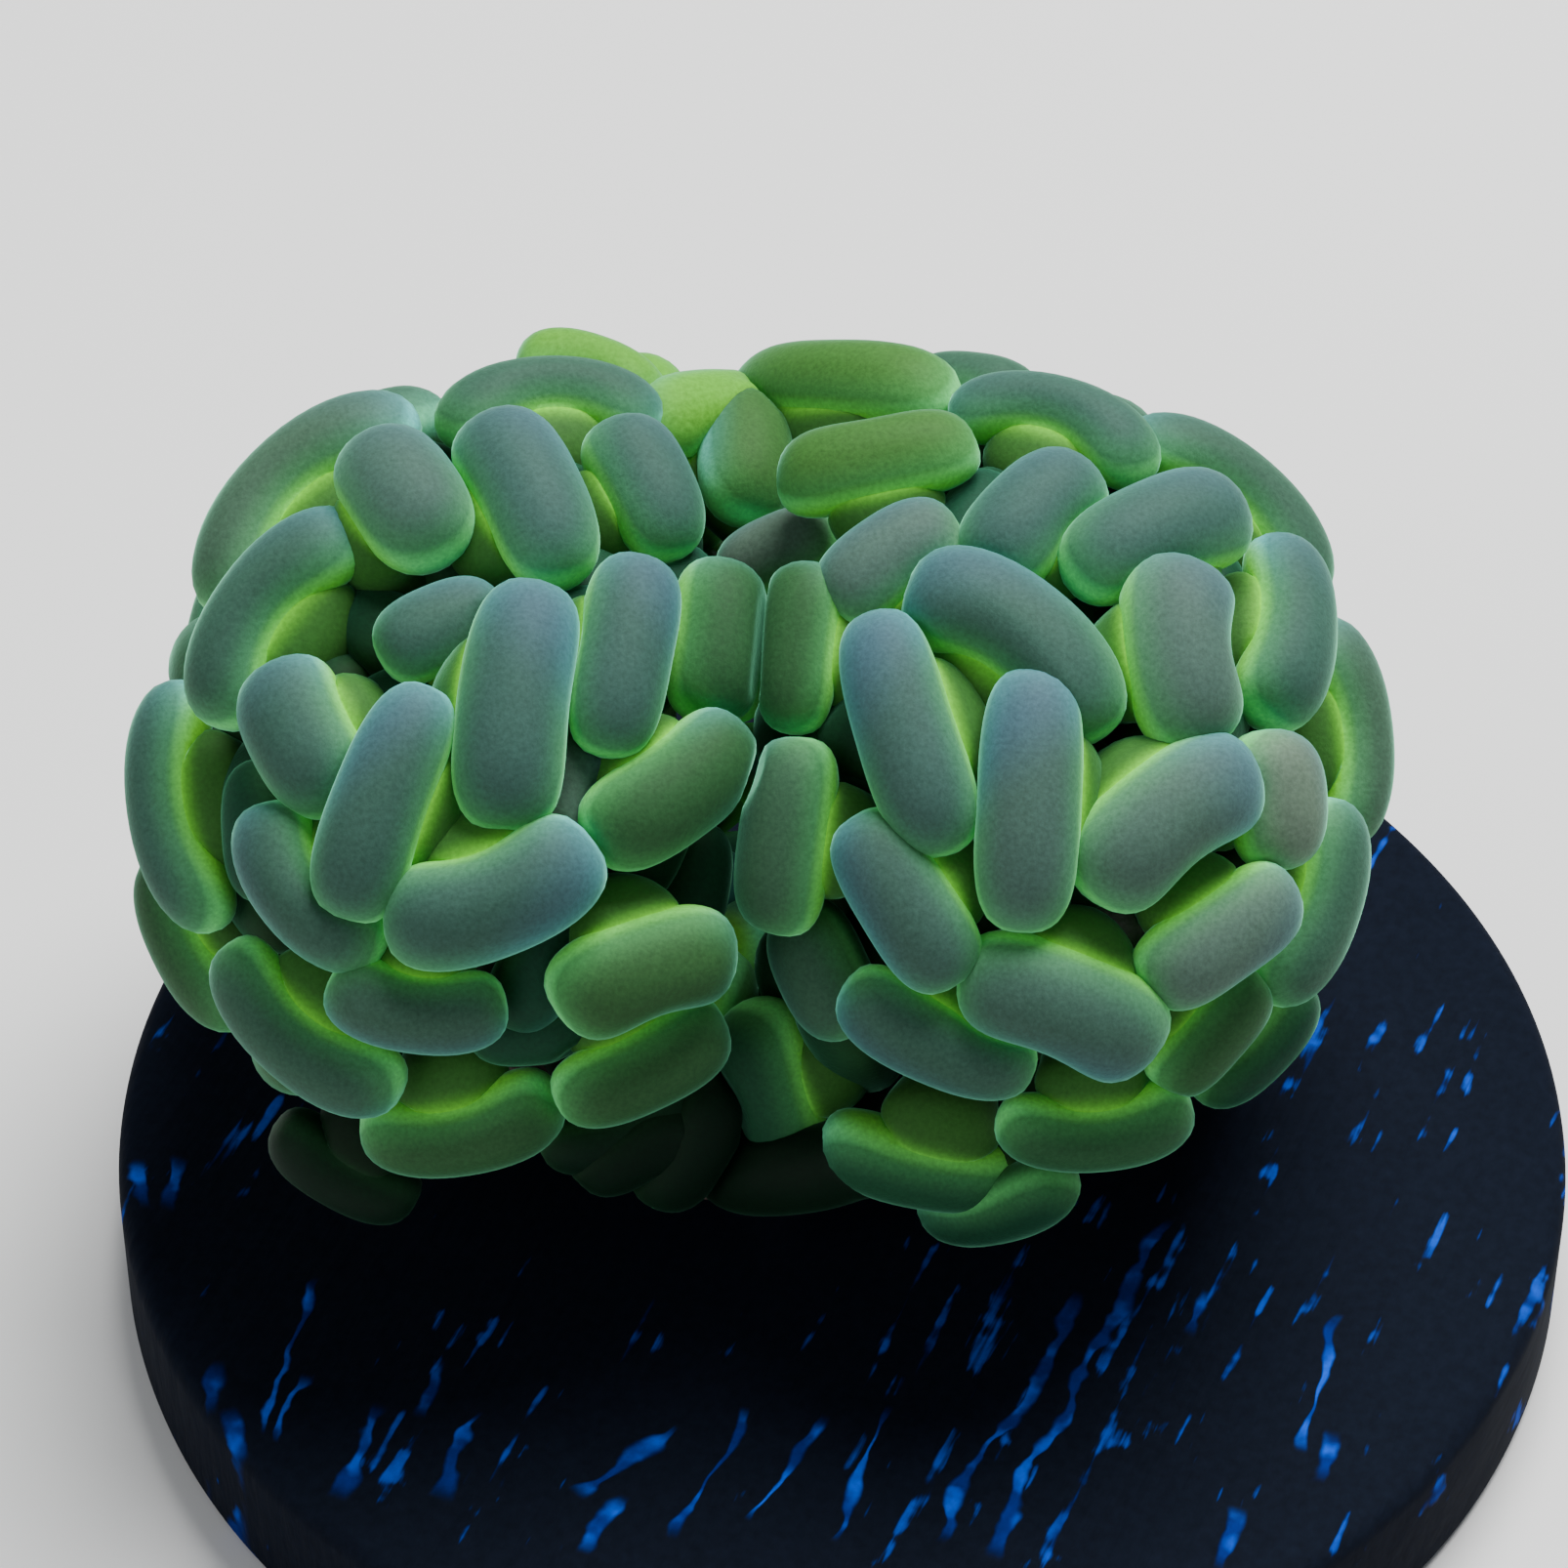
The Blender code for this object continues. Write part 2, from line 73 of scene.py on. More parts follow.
PLAN_LEAN = math.radians(44.0)
PLAN_REACH = 300.0 * MM
PLAN_ORIGIN = Vector((-3.0 * MM, 4.0 * MM, DISC_TOP + 20.0 * MM))
PLAN_ACROSS = Vector((1.0, 0.0, 0.0))
PLAN_UP = Vector((0.0, math.sin(PLAN_LEAN), math.cos(PLAN_LEAN)))
PLAN_OUT = Vector((0.0, -math.cos(PLAN_LEAN), math.sin(PLAN_LEAN)))
STEEPEST_FACING = 0.5
NORMAL_STEP = 0.2 * MM
HALVINGS = 16
DISPLAY_TURN = 0.3                   # how far heads turn to face the display side
VALLEY_TURN = 0.5                    # and how much further in the valley
VALLEY_HALF_WIDTH = 9.0 * MM
LONGEST_HEAD = 14.0 * MM

# Heads of the display side: across, up, slant, length, width, bend, lift (mm and degrees), and a
# tint. From 0 to 1 a tint goes from teal to green, and above 1 it adds painted shade. From 0 down to
# -1 it goes from green to lime, and below -1 it is teal that grows more cream.
LEFT_HEADS = (
    (-24.8, 14.9, 46, 14.2, 5.2, -60, 0.0, 0.45),
    (-18.9, 13.8, 125, 6.8, 5.8, 0, 1.0, 0.10),
    (-12.8, 13.9, 118, 8.7, 5.5, 8, 1.0, 0.05),
    (-11.8, 19.3, 3, 11.0, 4.6, -70, 0.0, 0.35),
    (-9.6, 20.5, -20, 7.6, 4.6, -45, -0.1, -0.42),
    (-26.0, 8.8, 55, 12.0, 5.2, -50, 0.0, 0.30),
    (-17.2, 8.2, 25, 6.4, 4.5, -5, -1.0, 0.20),
    (-24.0, 2.4, 117, 7.6, 5.6, -10, 0.0, 0.20),
    (-13.4, 3.9, 83, 11.8, 5.7, -12, 1.0, 0.10),
    (-8.2, 6.3, 80, 9.5, 4.9, -5, 1.0, 0.10),
    (-6.9, 14.9, 117, 7.3, 5.0, 0, 0.0, 0.15),
    (-3.6, 7.1, 84, 7.8, 5.1, 0, 0.6, 1.25),
    (-19.9, -0.9, 70, 11.6, 4.9, -8, 1.0, 0.20),
    (-14.5, -5.5, 21, 10.6, 5.9, 35, 1.0, 0.20),
    (-24.0, -5.3, -50, 9.0, 5.0, 60, 0.0, 0.30),
    (-30.6, -1.2, 99, 12.3, 4.8, -35, 0.0, 0.25),
    (-28.5, -2.5, 95, 7.0, 4.2, 0, -3.0, 0.90),
    (-30.5, -8.2, -62, 9.5, 4.8, 20, -1.0, 0.80),
    (-18.4, -11.2, -8, 8.5, 4.5, 35, 0.0, 0.35),
    (-24.3, -12.6, -40, 11.0, 4.8, 38, 0.0, 0.40),
    (-16.1, -17.3, 11, 9.8, 4.8, 30, 0.0, 1.20),
    (-7.0, -14.1, 27, 8.9, 4.7, 5, 0.0, 1.18),
    (-7.1, -9.2, 18, 8.8, 5.7, -35, 0.5, 1.12),
    (-11.9, -10.2, 60, 7.0, 4.2, 0, -3.0, 0.40),
    (-12.4, -13.9, 5, 6.5, 4.0, 0, -3.0, 0.80),
    (-22.6, -20.4, -32, 7.8, 4.2, 15, -1.2, 2.00),
    (-10.3, -0.3, 80, 7.0, 4.2, 0, -2.4, -1.30),
    (-9.7, 9.0, 0, 6.0, 4.0, 0, -2.5, 0.50),
    (-5.0, 10.6, 30, 6.0, 4.0, 0, -3.0, 0.60),
    (-5.7, -0.3, 37, 8.9, 5.3, 12, 0.5, 1.22),
    (-2.8, -5.4, 80, 6.0, 4.0, 0, -3.5, 0.80),
    (-7.8, -17.9, 20, 8.2, 3.9, 20, -0.8, 1.90),
    (-6.3, -20.2, 30, 6.5, 4.0, 0, -2.6, 2.00),
    (-5.5, 19.6, 100, 6.5, 4.8, 0, -2.2, -0.48),
    (-4.6, -17.6, 70, 7.5, 4.4, 0, -4.5, 2.00),
    (-3.2, -19.4, 60, 7.5, 4.6, 0, -2.4, 2.00),
)
RIGHT_HEADS = (
    (0.7, 6.9, 84, 8.2, 4.3, 0, 0.0, 1.22),
    (-1.2, 12.2, 22, 6.0, 4.1, 0, -1.5, -1.45),
    (-2.4, 15.9, 92, 5.9, 5.2, 0, 1.0, -0.04),
    (4.7, 15.8, 11, 9.8, 4.9, 25, 0.5, -0.08),
    (2.6, 19.7, -4, 11.2, 4.9, 25, 0.5, -0.10),
    (-3.5, 18.8, 8, 6.4, 4.8, -10, -0.6, -0.50),
    (9.3, 20.6, -15, 6.6, 4.4, -20, -1.0, 0.40),
    (13.7, 18.3, -18, 10.3, 4.5, -60, 0.0, 0.20),
    (22.9, 14.5, -42, 12.6, 4.6, -50, 0.0, 0.40),
    (12.4, 13.3, 45, 7.6, 5.4, -8, 0.0, 0.05),
    (18.5, 12.2, 22, 8.9, 5.6, -5, 0.5, 0.10),
    (25.2, 7.8, 84, 9.0, 5.1, 25, 0.0, 0.20),
    (19.7, 6.4, 95, 9.1, 6.3, -45, 0.5, -1.20),
    (11.7, 7.2, -38, 11.6, 6.1, -45, 0.2, 0.20),
    (6.2, 2.5, 107, 11.9, 5.0, -5, 1.0, 0.05),
    (12.2, -0.8, 87, 12.4, 5.1, 0, 1.0, 0.05),
    (0.9, 2.6, -60, 6.5, 4.0, 0, -3.5, 0.70),
    (19.0, -1.8, 37, 10.0, 6.1, -32, 0.5, 0.10),
    (6.1, -5.8, 122, 9.3, 4.8, 0, 0.5, 0.15),
    (7.6, -12.8, -25, 9.9, 4.5, 15, 0.0, 0.30),
    (13.9, -10.9, -22, 10.1, 6.0, -30, 0.5, 0.20),
    (21.6, -7.5, 34, 8.6, 4.9, -8, 0.5, -1.30),
    (24.6, -0.8, 95, 6.8, 5.2, 0, 0.0, -1.60),
    (28.4, 2.7, 97, 11.3, 4.4, 35, 0.0, 0.45),
    (26.6, -6.0, 70, 10.3, 4.8, 30, 0.0, 0.40),
    (21.9, -12.9, 50, 7.4, 4.2, -10, -1.0, 1.20),
    (24.4, -13.6, 45, 7.8, 4.2, 25, -1.0, 1.65),
    (15.6, -17.3, 5, 9.5, 4.4, 35, 0.0, 1.30),
    (7.1, -18.8, -13, 10.4, 4.6, 3, 0.4, 1.45),
    (10.8, -22.6, 22, 7.4, 4.2, 25, -1.6, 1.62),
    (9.3, 14.5, 70, 6.5, 4.0, 0, -3.0, 0.40),
    (-0.4, 17.9, 100, 6.5, 4.4, 0, -2.5, 1.00),
    (5.2, 11.4, 35, 7.6, 4.9, -10, -0.5, -1.20),
    (28.6, -2.8, 90, 6.5, 4.2, 0, -1.5, 0.55),
    (0.3, -2.6, 83, 9.4, 4.9, 10, 0.5, 0.60),
    (0.6, -10.0, 115, 7.0, 4.8, 0, -2.4, 0.50),
    (-0.4, -14.8, 107, 7.9, 5.3, 0, 0.3, 1.45),
    (-1.6, -22.4, 8, 9.6, 4.8, 0, -4.5, 2.00),
)

SPREAD_POINTS = 1200
SPREAD_FACING = 0.12
SPREAD_LOWEST = -0.62
SPREAD_FLOOR = 13.5 * MM
SPREAD_CLEARANCE = 4.5 * MM
SPREAD_SLANTS = 6
SPREAD_LENGTH = (9.0, 12.0)          # mm
SPREAD_WIDTH = (4.6, 5.4)            # mm
SPREAD_BEND = 40.0                   # degrees, either way
SPREAD_SEED = 7
EDGE_SINK = 1.8 * MM                 # how much deeper they sit near the display side's edge

# A second, deeper layer of heads shows in the gaps of the first
FILL_CLEARANCE = 3.4 * MM
FILL_LIFT = -2.2 * MM
FILL_FACING = 1.0                    # the fill may face any way
CLEFT_UP = -5.0 * MM                 # below this height the display side's gaps stay open
DEEP_SHADE = 0.6                     # how much painted shade the deep heads get
SHADED_LIFT = -2.5                   # mm: planned heads from here down get painted shade
SPREAD_GREEN = 0.3                   # how green the rule's heads are at the top
LOW_GREEN = 0.4                      # and how much more at the widest line


def lobe_level(lobe, point, inset):
    """Below 1 inside the lobe's surface drawn in by inset, above 1 outside it."""
    offset = point - Vector(lobe["centre"]) * MM
    if offset.x * lobe["side"] < 0.0:
        half_width, power = LOBE_INNER, INNER_POWER
    else:
        half_width, power = lobe["outer"] * MM, OUTER_POWER
    across = abs(offset.x / (half_width - inset)) ** power
    deep = (offset.y / (LOBE_DEPTH - inset)) ** 2
    return across + deep + (offset.z / (LOBE_HEIGHT - inset)) ** 2


def dome_level(point, inset):
    """The same for both lobes together, with the valley between them filled smoothly."""
    levels = [lobe_level(lobe, point, inset) for lobe in LOBES.values()]
    lowest = min(levels)
    total = sum(math.exp(VALLEY_SHARPNESS * (lowest - level)) for level in levels)
    return lowest - math.log(total) / VALLEY_SHARPNESS


def dome_normal(point, inset):
    slope = Vector()
    for axis in range(3):
        shift = Vector()
        shift[axis] = NORMAL_STEP
        slope[axis] = dome_level(point + shift, inset) - dome_level(point - shift, inset)
    return slope.normalized()


def first_inside(level, start, direction, reach):
    """Where a line first comes to a level below 1, or where it passes closest."""
    levels = [level(start + direction * (reach * step / LINE_STEPS)) for step in range(LINE_STEPS)]
    inside = [step for step, value in enumerate(levels) if value < 1.0]
    if not inside:
        return start + direction * (reach * levels.index(min(levels)) / LINE_STEPS)
    near = (inside[0] - 1.0) / LINE_STEPS
    far = inside[0] / LINE_STEPS
    for _ in range(HALVINGS):
        middle = 0.5 * (near + far)
        if level(start + direction * (reach * middle)) < 1.0:
            far = middle
        else:
            near = middle
    return start + direction * (reach * far)


def head_level(point):
    return dome_level(point, HEAD_INSET)


def body_level(point):
    return dome_level(point, BODY_INSET)


def plan_point(across, up):
    """Carry a place on the display plan along its line to the layer of head centres."""
    eye = PLAN_ORIGIN + PLAN_OUT * PLAN_REACH
    target = PLAN_ORIGIN + PLAN_ACROSS * (across * MM) + PLAN_UP * (up * MM)
    direction = (target - eye).normalized()
    start = eye + direction * (PLAN_REACH - DOME_REACH)
    return first_inside(head_level, start, direction, 2.0 * DOME_REACH)


def colour_shares(tint, lift):
    """How green, lime and cream a head is, and how much painted shade it takes, by its tint and its
    lift in mm.
    """
    green = 1.0 if -1.0 <= tint < 0.0 else min(max(tint, 0.0), 1.0)
    shade = DEEP_SHADE if lift <= SHADED_LIFT else 0.0
    return {"green": green,
            "shade": max(tint - 1.0, shade),
            "bright": -tint if -1.0 <= tint < 0.0 else 0.0,
            "cream": max(-1.0 - tint, 0.0)}


def planned_heads(rows):
    """Heads as frames, sizes and colour shares: the rows carried onto the dome."""
    heads = []
    for across, up, slant, length, width, bend, lift, tint in rows:
        point = plan_point(across, up)
        nearness = max(1.0 - abs(point.x - FORK_X) / VALLEY_HALF_WIDTH, 0.0)
        outward = dome_normal(point, HEAD_INSET)
        outward += PLAN_OUT * (DISPLAY_TURN + VALLEY_TURN * nearness)
        outward.normalize()
        turn = math.radians(slant)
        flat = PLAN_ACROSS * math.cos(turn) + PLAN_UP * math.sin(turn)
        facing = max(outward.dot(PLAN_OUT), STEEPEST_FACING)
        tangent = flat - PLAN_OUT * (outward.dot(flat) / facing)
        full_length = min(length * MM * tangent.length, LONGEST_HEAD)
        tangent = (tangent - outward * tangent.dot(outward)).normalized()
        heads.append({"centre": point + outward * (lift * MM), "along": tangent,
                      "outward": outward, "length": full_length, "width": width * MM,
                      "bend": math.radians(bend), "lift": lift * MM,
                      **colour_shares(tint, lift)})
    return heads


def core_points(head):
    """Points along the line through the middle of a head."""
    reach = head["along"] * (0.5 * (head["length"] - head["width"]))
    return np.array([head["centre"] + reach * share for share in np.linspace(-1.0, 1.0, 7)])


def crowding(head, others):
    """Shortest distance from a head's middle line to those of the others."""
    points = core_points(head)
    return min(np.linalg.norm(points[:, None] - other[None], axis=2).min() for other in others)


def spread_heads(name, taken, rng, facing, clearance, lift):
    """Fill the rest of a lobe's surface with heads that keep clear of those taken."""
    lobe = LOBES[name]
    centre = Vector(lobe["centre"]) * MM
    heads = []
    for index in range(SPREAD_POINTS):
        height = 1.0 - 2.0 * (index + 0.5) / SPREAD_POINTS
        ring = math.sqrt(1.0 - height * height)
        turn = math.pi * (3.0 - math.sqrt(5.0)) * index
        direction = Vector((ring * math.cos(turn), ring * math.sin(turn), height))
        first_slant = rng.uniform(0.0, math.pi)
        length = rng.uniform(*SPREAD_LENGTH) * MM
        width = rng.uniform(*SPREAD_WIDTH) * MM
        bend = math.radians(rng.uniform(-SPREAD_BEND, SPREAD_BEND))
        point = first_inside(head_level, centre + direction * DOME_REACH, -direction, DOME_REACH)
        outward = dome_normal(point, HEAD_INSET)
        seen = outward.dot(PLAN_OUT)
        if seen > facing or outward.z < SPREAD_LOWEST:
            continue
        if seen > SPREAD_FACING and (point - PLAN_ORIGIN).dot(PLAN_UP) < CLEFT_UP:
            continue
        if point.z < SPREAD_FLOOR or (point.x - FORK_X) * lobe["side"] < 0.0:
            continue
        depth = lift - EDGE_SINK * min(max(1.0 + 2.0 * seen, 0.0), 1.0)
        # the deeper fill heads get painted shade
        fill_shade = DEEP_SHADE if lift < 0.0 else 0.0
        side = outward.orthogonal().normalized()
        tries = []
        for step in range(SPREAD_SLANTS):
            turned = Matrix.Rotation(first_slant + math.pi * step / SPREAD_SLANTS, 3, outward)
            head = {"centre": point + outward * depth, "along": turned @ side,
                    "outward": outward, "length": length, "width": width, "bend": bend,
                    "lift": depth, "green": max(SPREAD_GREEN + LOW_GREEN * (1.0 - outward.z), fill_shade),
                    "shade": fill_shade, "bright": 0.0, "cream": 0.0}
            tries.append((crowding(head, taken), step, head))
        room, _, head = max(tries, key=lambda entry: entry[0])
        if room > clearance:
            heads.append(head)
            taken.append(core_points(head))
    return heads


def all_heads():
    """Every tentacle's head, by polyp: the display side, the rest, and the deeper fill."""
    rng = np.random.default_rng(SPREAD_SEED)
    heads = {"left": planned_heads(LEFT_HEADS), "right": planned_heads(RIGHT_HEADS)}
    taken = [core_points(head) for head in heads["left"] + heads["right"]
             if head["lift"] > FILL_LIFT]
    for name in LOBES:
        heads[name] += spread_heads(name, taken, rng, SPREAD_FACING, SPREAD_CLEARANCE, 0.0)
    for name in LOBES:
        heads[name] += spread_heads(name, taken, rng, FILL_FACING, FILL_CLEARANCE, FILL_LIFT)
    return heads


# ---- modelling helpers ----

def deselect_all():
    if bpy.context.mode != "OBJECT":
        bpy.ops.object.mode_set(mode="OBJECT")
    bpy.ops.object.select_all(action="DESELECT")


def pick_faces(piece, wanted):
    """In edit mode, select just the faces whose centre and normal are wanted."""
    bpy.ops.mesh.select_mode(type="FACE")
    bpy.ops.mesh.select_all(action="DESELECT")
    bpy.ops.object.mode_set(mode="OBJECT")
    for face in piece.data.polygons:
        face.select = wanted(face.center, face.normal)
    bpy.ops.object.mode_set(mode="EDIT")


def apply_subdivision(piece, levels):
    """Smooth a piece by subdivision, for good."""
    smooth = piece.modifiers.new("smooth", "SUBSURF")
    smooth.levels = levels
    smooth.render_levels = levels
    bpy.ops.object.modifier_apply(modifier=smooth.name)


def mesh_points(mesh):
    points = np.empty(len(mesh.vertices) * 3, dtype=np.float32)
    mesh.vertices.foreach_get("co", points)
    return points.reshape(-1, 3).astype(float)


def set_points(mesh, points):
    mesh.vertices.foreach_set("co", np.asarray(points, dtype=np.float32).ravel())
    mesh.update()


def set_attribute(mesh, name, values):
    """Store one value for each point, for the material to read."""
    layer = mesh.attributes.new(name, "FLOAT", "POINT")
    layer.data.foreach_set("value", np.asarray(values, dtype=np.float32))


def join_pieces(pieces, name):
    """Join pieces to one smooth piece with a name."""
    deselect_all()
    for piece in pieces:
        piece.select_set(True)
    bpy.context.view_layer.objects.active = pieces[0]
    bpy.ops.object.join()
    whole = bpy.context.object
    whole.name = name
    whole.data.name = name
    whole.data.shade_smooth()
    return whole


# ---- tentacles ----

POINT_VALUES = ("crown", "down", "neck", "depth", "sky")     # vary over a tentacle
HEAD_VALUES = ("green", "shade", "bright", "cream")          # one for each head
HEAD_SPAN = 0.5                      # the blank's half length
HEAD_GIRTH = 0.25                    # the blank's half width and half depth
STALK_STEPS = 5
STALK_STEP = 0.2
STALK_SPAN = STALK_STEPS * STALK_STEP
STALK_RADIUS = 1.9 * MM
BLUNT_END = 1.1                      # plus length over width; 2 makes an egg, more a capsule
BLUNTEST_END = 2.9
WAIST = 0.08                         # how much fuller the ends are than the middle
ALONG_SHARE = 0.6                    # of the way along a head, beside the way across it
NEIGHBOUR_REACH = 15.0 * MM
TAPER = 0.07                         # at most, from one end of a head to the other
NECK_LENGTH_SHARE = 0.37             # of the head's length
NECK_WIDTH_SHARE = 0.42              # of the head's width
NECK_TAPER = 1.3
NECK_START = 0.22                    # of the head's width, below its centre
NECK_BLEND = 0.40
NECK_DROP = 2.8 * MM
STALK_ROLL = math.radians(50.0)      # how far the stalk leaves aside from straight down
STALK_CORE = 0.7                     # of the blank's girth: points nearer its axis close the end
HEART_DROP = 3.0 * MM                # below a lobe's centre, where its stalks lead
DEEP_LIFT = -1.5 * MM                # below this height the stalk goes straight down
NOTCH_DEPTH = 0.34                   # of the half width, in the hollow side of a bent head
NOTCH_FULL_BEND = math.radians(55.0)
PAINTED_SHADE_DEPTHS = (0.8 * MM, 4.2 * MM)     # depths under the heads over which painted shade darkens the flesh
DARK_SHADE = 0.7                     # heads with more painted shade than this take the shaded copy of the flesh, with hardly any sheen
HEAD_DEPTH_SHARE = 0.92
UPWARD_SHARE = 0.25
PRESS_GAP = 0.04 * MM
PRESS_LIMIT = 0.22
PRESS_REACH = 0.6 * MM               # a height difference that settles which head gives way
PRESS_BIAS = 0.45                    # how much more than half the deeper head gives way
PRESS_FADE = (0.1, 0.5)              # shares of the stalk where the pressing fades out
PRESS_SOFTENING = 3


def model_tentacle_blank():
    """A box cut across, drawn down into a stalk from its middle, and smoothed."""
    deselect_all()
    bpy.ops.mesh.primitive_cube_add(size=1.0)
    blank = bpy.context.object
    bpy.ops.object.mode_set(mode="EDIT")
    bpy.ops.mesh.select_all(action="SELECT")
    bpy.ops.transform.resize(value=(2.0 * HEAD_SPAN, 2.0 * HEAD_GIRTH, 2.0 * HEAD_GIRTH))
    bpy.ops.mesh.subdivide(number_cuts=1)
    for place in (-0.5 * HEAD_SPAN, 0.5 * HEAD_SPAN):
        bpy.ops.mesh.select_all(action="SELECT")
        bpy.ops.mesh.bisect(plane_co=(place, 0.0, 0.0), plane_no=(1.0, 0.0, 0.0))
    pick_faces(blank, lambda centre, normal: normal.z < -0.9 and abs(centre.x) < 0.5 * HEAD_SPAN)
    for _ in range(STALK_STEPS):
        bpy.ops.mesh.extrude_region_move(TRANSFORM_OT_translate={"value": (0.0, 0.0, -STALK_STEP)})
    bpy.ops.object.mode_set(mode="OBJECT")
    apply_subdivision(blank, 2)
    points = mesh_points(blank.data)
    head = points[:, 2] > -HEAD_GIRTH
    points[:, 0] *= HEAD_SPAN / np.abs(points[head, 0]).max()
    points[:, 1] *= HEAD_GIRTH / np.abs(points[head, 1]).max()
    points[head, 2] *= HEAD_GIRTH / points[head, 2].max()
    set_points(blank.data, points)
    return blank


def smooth_step(value, low, high):
    """0 below low, 1 above high, and a soft slope between them."""
    share = np.clip((value - low) / (high - low), 0.0, 1.0)
    return share * share * (3.0 - 2.0 * share)


def unit_rows(rows):
    return rows / np.maximum(np.linalg.norm(rows, axis=1, keepdims=True), 1e-9)


def bent_line(travel, length, bend):
    """How far a bent head's middle line runs along and aside, and its heading."""
    heading = bend / length * travel
    return travel * np.cos(0.5 * heading), travel * np.sin(0.5 * heading), heading


def neck_side(head, lobe):
    """The side of a head, by sign, that its neck leaves from: towards the lobe's middle."""
    middle = Vector(lobe["centre"]) * MM + PLAN_OUT * DOME_RADIUS
    aside = head["outward"].cross(head["along"])
    return 1.0 if aside.dot(middle - head["centre"]) >= 0.0 else -1.0


def outer_way(head, lobe):
    """The way across the display side that leads out from the lobe's middle, or up near it."""
    offset = head["centre"] - Vector(lobe["centre"]) * MM
    offset += PLAN_UP * (UPWARD_SHARE * DOME_RADIUS)
    return (offset - PLAN_OUT * offset.dot(PLAN_OUT)).normalized()


def stalk_root(head, lobe):
    """Where the stalk grows from the polyp's body, on the way to the lobe's heart."""
    heart = Vector(lobe["centre"]) * MM - Vector((0.0, 0.0, HEART_DROP))
    direction = (heart - head["centre"]).normalized()
    return first_inside(body_level, head["centre"], direction, DOME_REACH)


def head_axes(head):
    """A head's own directions: along it, aside and outward."""
    along = np.array(head["along"])
    outward = np.array(head["outward"])
    return along, np.cross(outward, along), outward


def head_droop(travel):
    """How far a head sinks towards its ends, to follow the round dome."""
    return travel ** 2 / (2.0 * DOME_RADIUS)


def blunt_shape(rest, head):
    """The blank's points as u, v and w, from -1 to 1 along, across and up a blunt-ended head."""
    u = rest[:, 0] / HEAD_SPAN
    v = rest[:, 1] / HEAD_GIRTH
    w = np.maximum(rest[:, 2] / HEAD_GIRTH, -1.0)
    power = min(BLUNT_END + head["length"] / head["width"], BLUNTEST_END)
    level = (np.abs(u) ** power + np.hypot(v, w) ** power) ** (1.0 / power)
    return u / level, v / level, w / level


def place_head(rest, head, roll, taper):
    """Places of a head's points, their travel along it, their shifts aside and up, and their w."""
    along, aside, outward = head_axes(head)
    u, v, w = blunt_shape(rest, head)
    swell = 1.0 + WAIST * (u * u - 0.4) + taper * u
    sideways = (v * math.cos(roll) - w * math.sin(roll)) * 0.5 * head["width"] * swell
    upwards = (v * math.sin(roll) + w * math.cos(roll)) * 0.5 * head["width"] * swell
    upwards = upwards * HEAD_DEPTH_SHARE
    hollow = math.copysign(1.0, head["bend"])
    notch = NOTCH_DEPTH * min(abs(head["bend"]) / NOTCH_FULL_BEND, 1.0)
    inner = np.maximum(hollow * sideways, 0.0)
    sideways = sideways - hollow * notch * inner * (1.0 - u * u) ** 2
    travel = u * 0.5 * head["length"]
    run, drift, heading = bent_line(travel, head["length"], head["bend"])
    points = (np.array(head["centre"])
              + np.outer(run - np.sin(heading) * sideways, along)
              + np.outer(drift + np.cos(heading) * sideways, aside)
              + np.outer(upwards - head_droop(travel), outward))
    return points, travel, sideways, upwards, w


def place_stalk(rest, down, head, root, roll):
    """Places of the stalk's points: rings along a curve from the neck to the root."""
    along, aside, outward = head_axes(head)
    leaving = aside * math.sin(roll) - outward * math.cos(roll)
    start = np.array(head["centre"]) + leaving * (NECK_START * head["width"])
    knee = start + leaving * NECK_DROP
    s = down[:, None]
    path = start * (1.0 - s) ** 2 + knee * 2.0 * s * (1.0 - s) + root * s ** 2
    heading_down = unit_rows((knee - start) * 2.0 * (1.0 - s) + (root - knee) * 2.0 * s)
    first = unit_rows(along - heading_down * (heading_down @ along)[:, None])
    second = np.cross(first, heading_down)
    spread = np.hypot(rest[:, 0], rest[:, 1])
    fullness = np.minimum(spread / (STALK_CORE * HEAD_GIRTH), 1.0)
    flare = ((1.0 - down) ** NECK_TAPER)[:, None]
    widest = np.array([NECK_LENGTH_SHARE * head["length"], NECK_WIDTH_SHARE * head["width"]])
    radii = (STALK_RADIUS + (widest - STALK_RADIUS) * flare) * fullness[:, None]
    ring = rest[:, :2] / np.maximum(spread, 1e-6)[:, None] * radii
    return path + first * ring[:, :1] + second * ring[:, 1:2]


def shape_tentacle(rest, head, lobe, taper):
    """Places of the blank's points for one tentacle, and its colour attributes.

    down runs from 0 at the head to 1 at the stalk's root.
    """
    along, aside, outward = head_axes(head)
    roll = neck_side(head, lobe) * STALK_ROLL if head["lift"] > DEEP_LIFT else 0.0
    down = np.clip((-HEAD_GIRTH - rest[:, 2]) / STALK_SPAN, 0.0, 1.0)
    in_head, travel, sideways, upwards, w = place_head(rest, head, roll, taper)
    in_stalk = place_stalk(rest, down, head, np.array(stalk_root(head, lobe)), roll)
    share = smooth_step(down, 0.0, NECK_BLEND)
    points = in_head * (1.0 - share[:, None]) + in_stalk * share[:, None]
    crown = np.clip(upwards / (0.5 * head["width"] * HEAD_DEPTH_SHARE), -1.0, 1.0)
    outer = np.array(outer_way(head, lobe))
    sky = sideways * (aside @ outer) + travel * (along @ outer) * ALONG_SHARE
    # How far a point lies under its head's layer: the deeper, the more painted shade
    sunk = -((points - np.array(head["centre"])) @ outward) - head["lift"]
    return {"points": points, "down": down, "crown": crown * (1.0 - share) - share,
            "depth": smooth_step(sunk, *PAINTED_SHADE_DEPTHS),
            "neck": np.where(down > 0.0, 1.0, -w),
            "sky": np.clip(2.0 * sky / head["width"], -1.0, 1.0), "head": head}


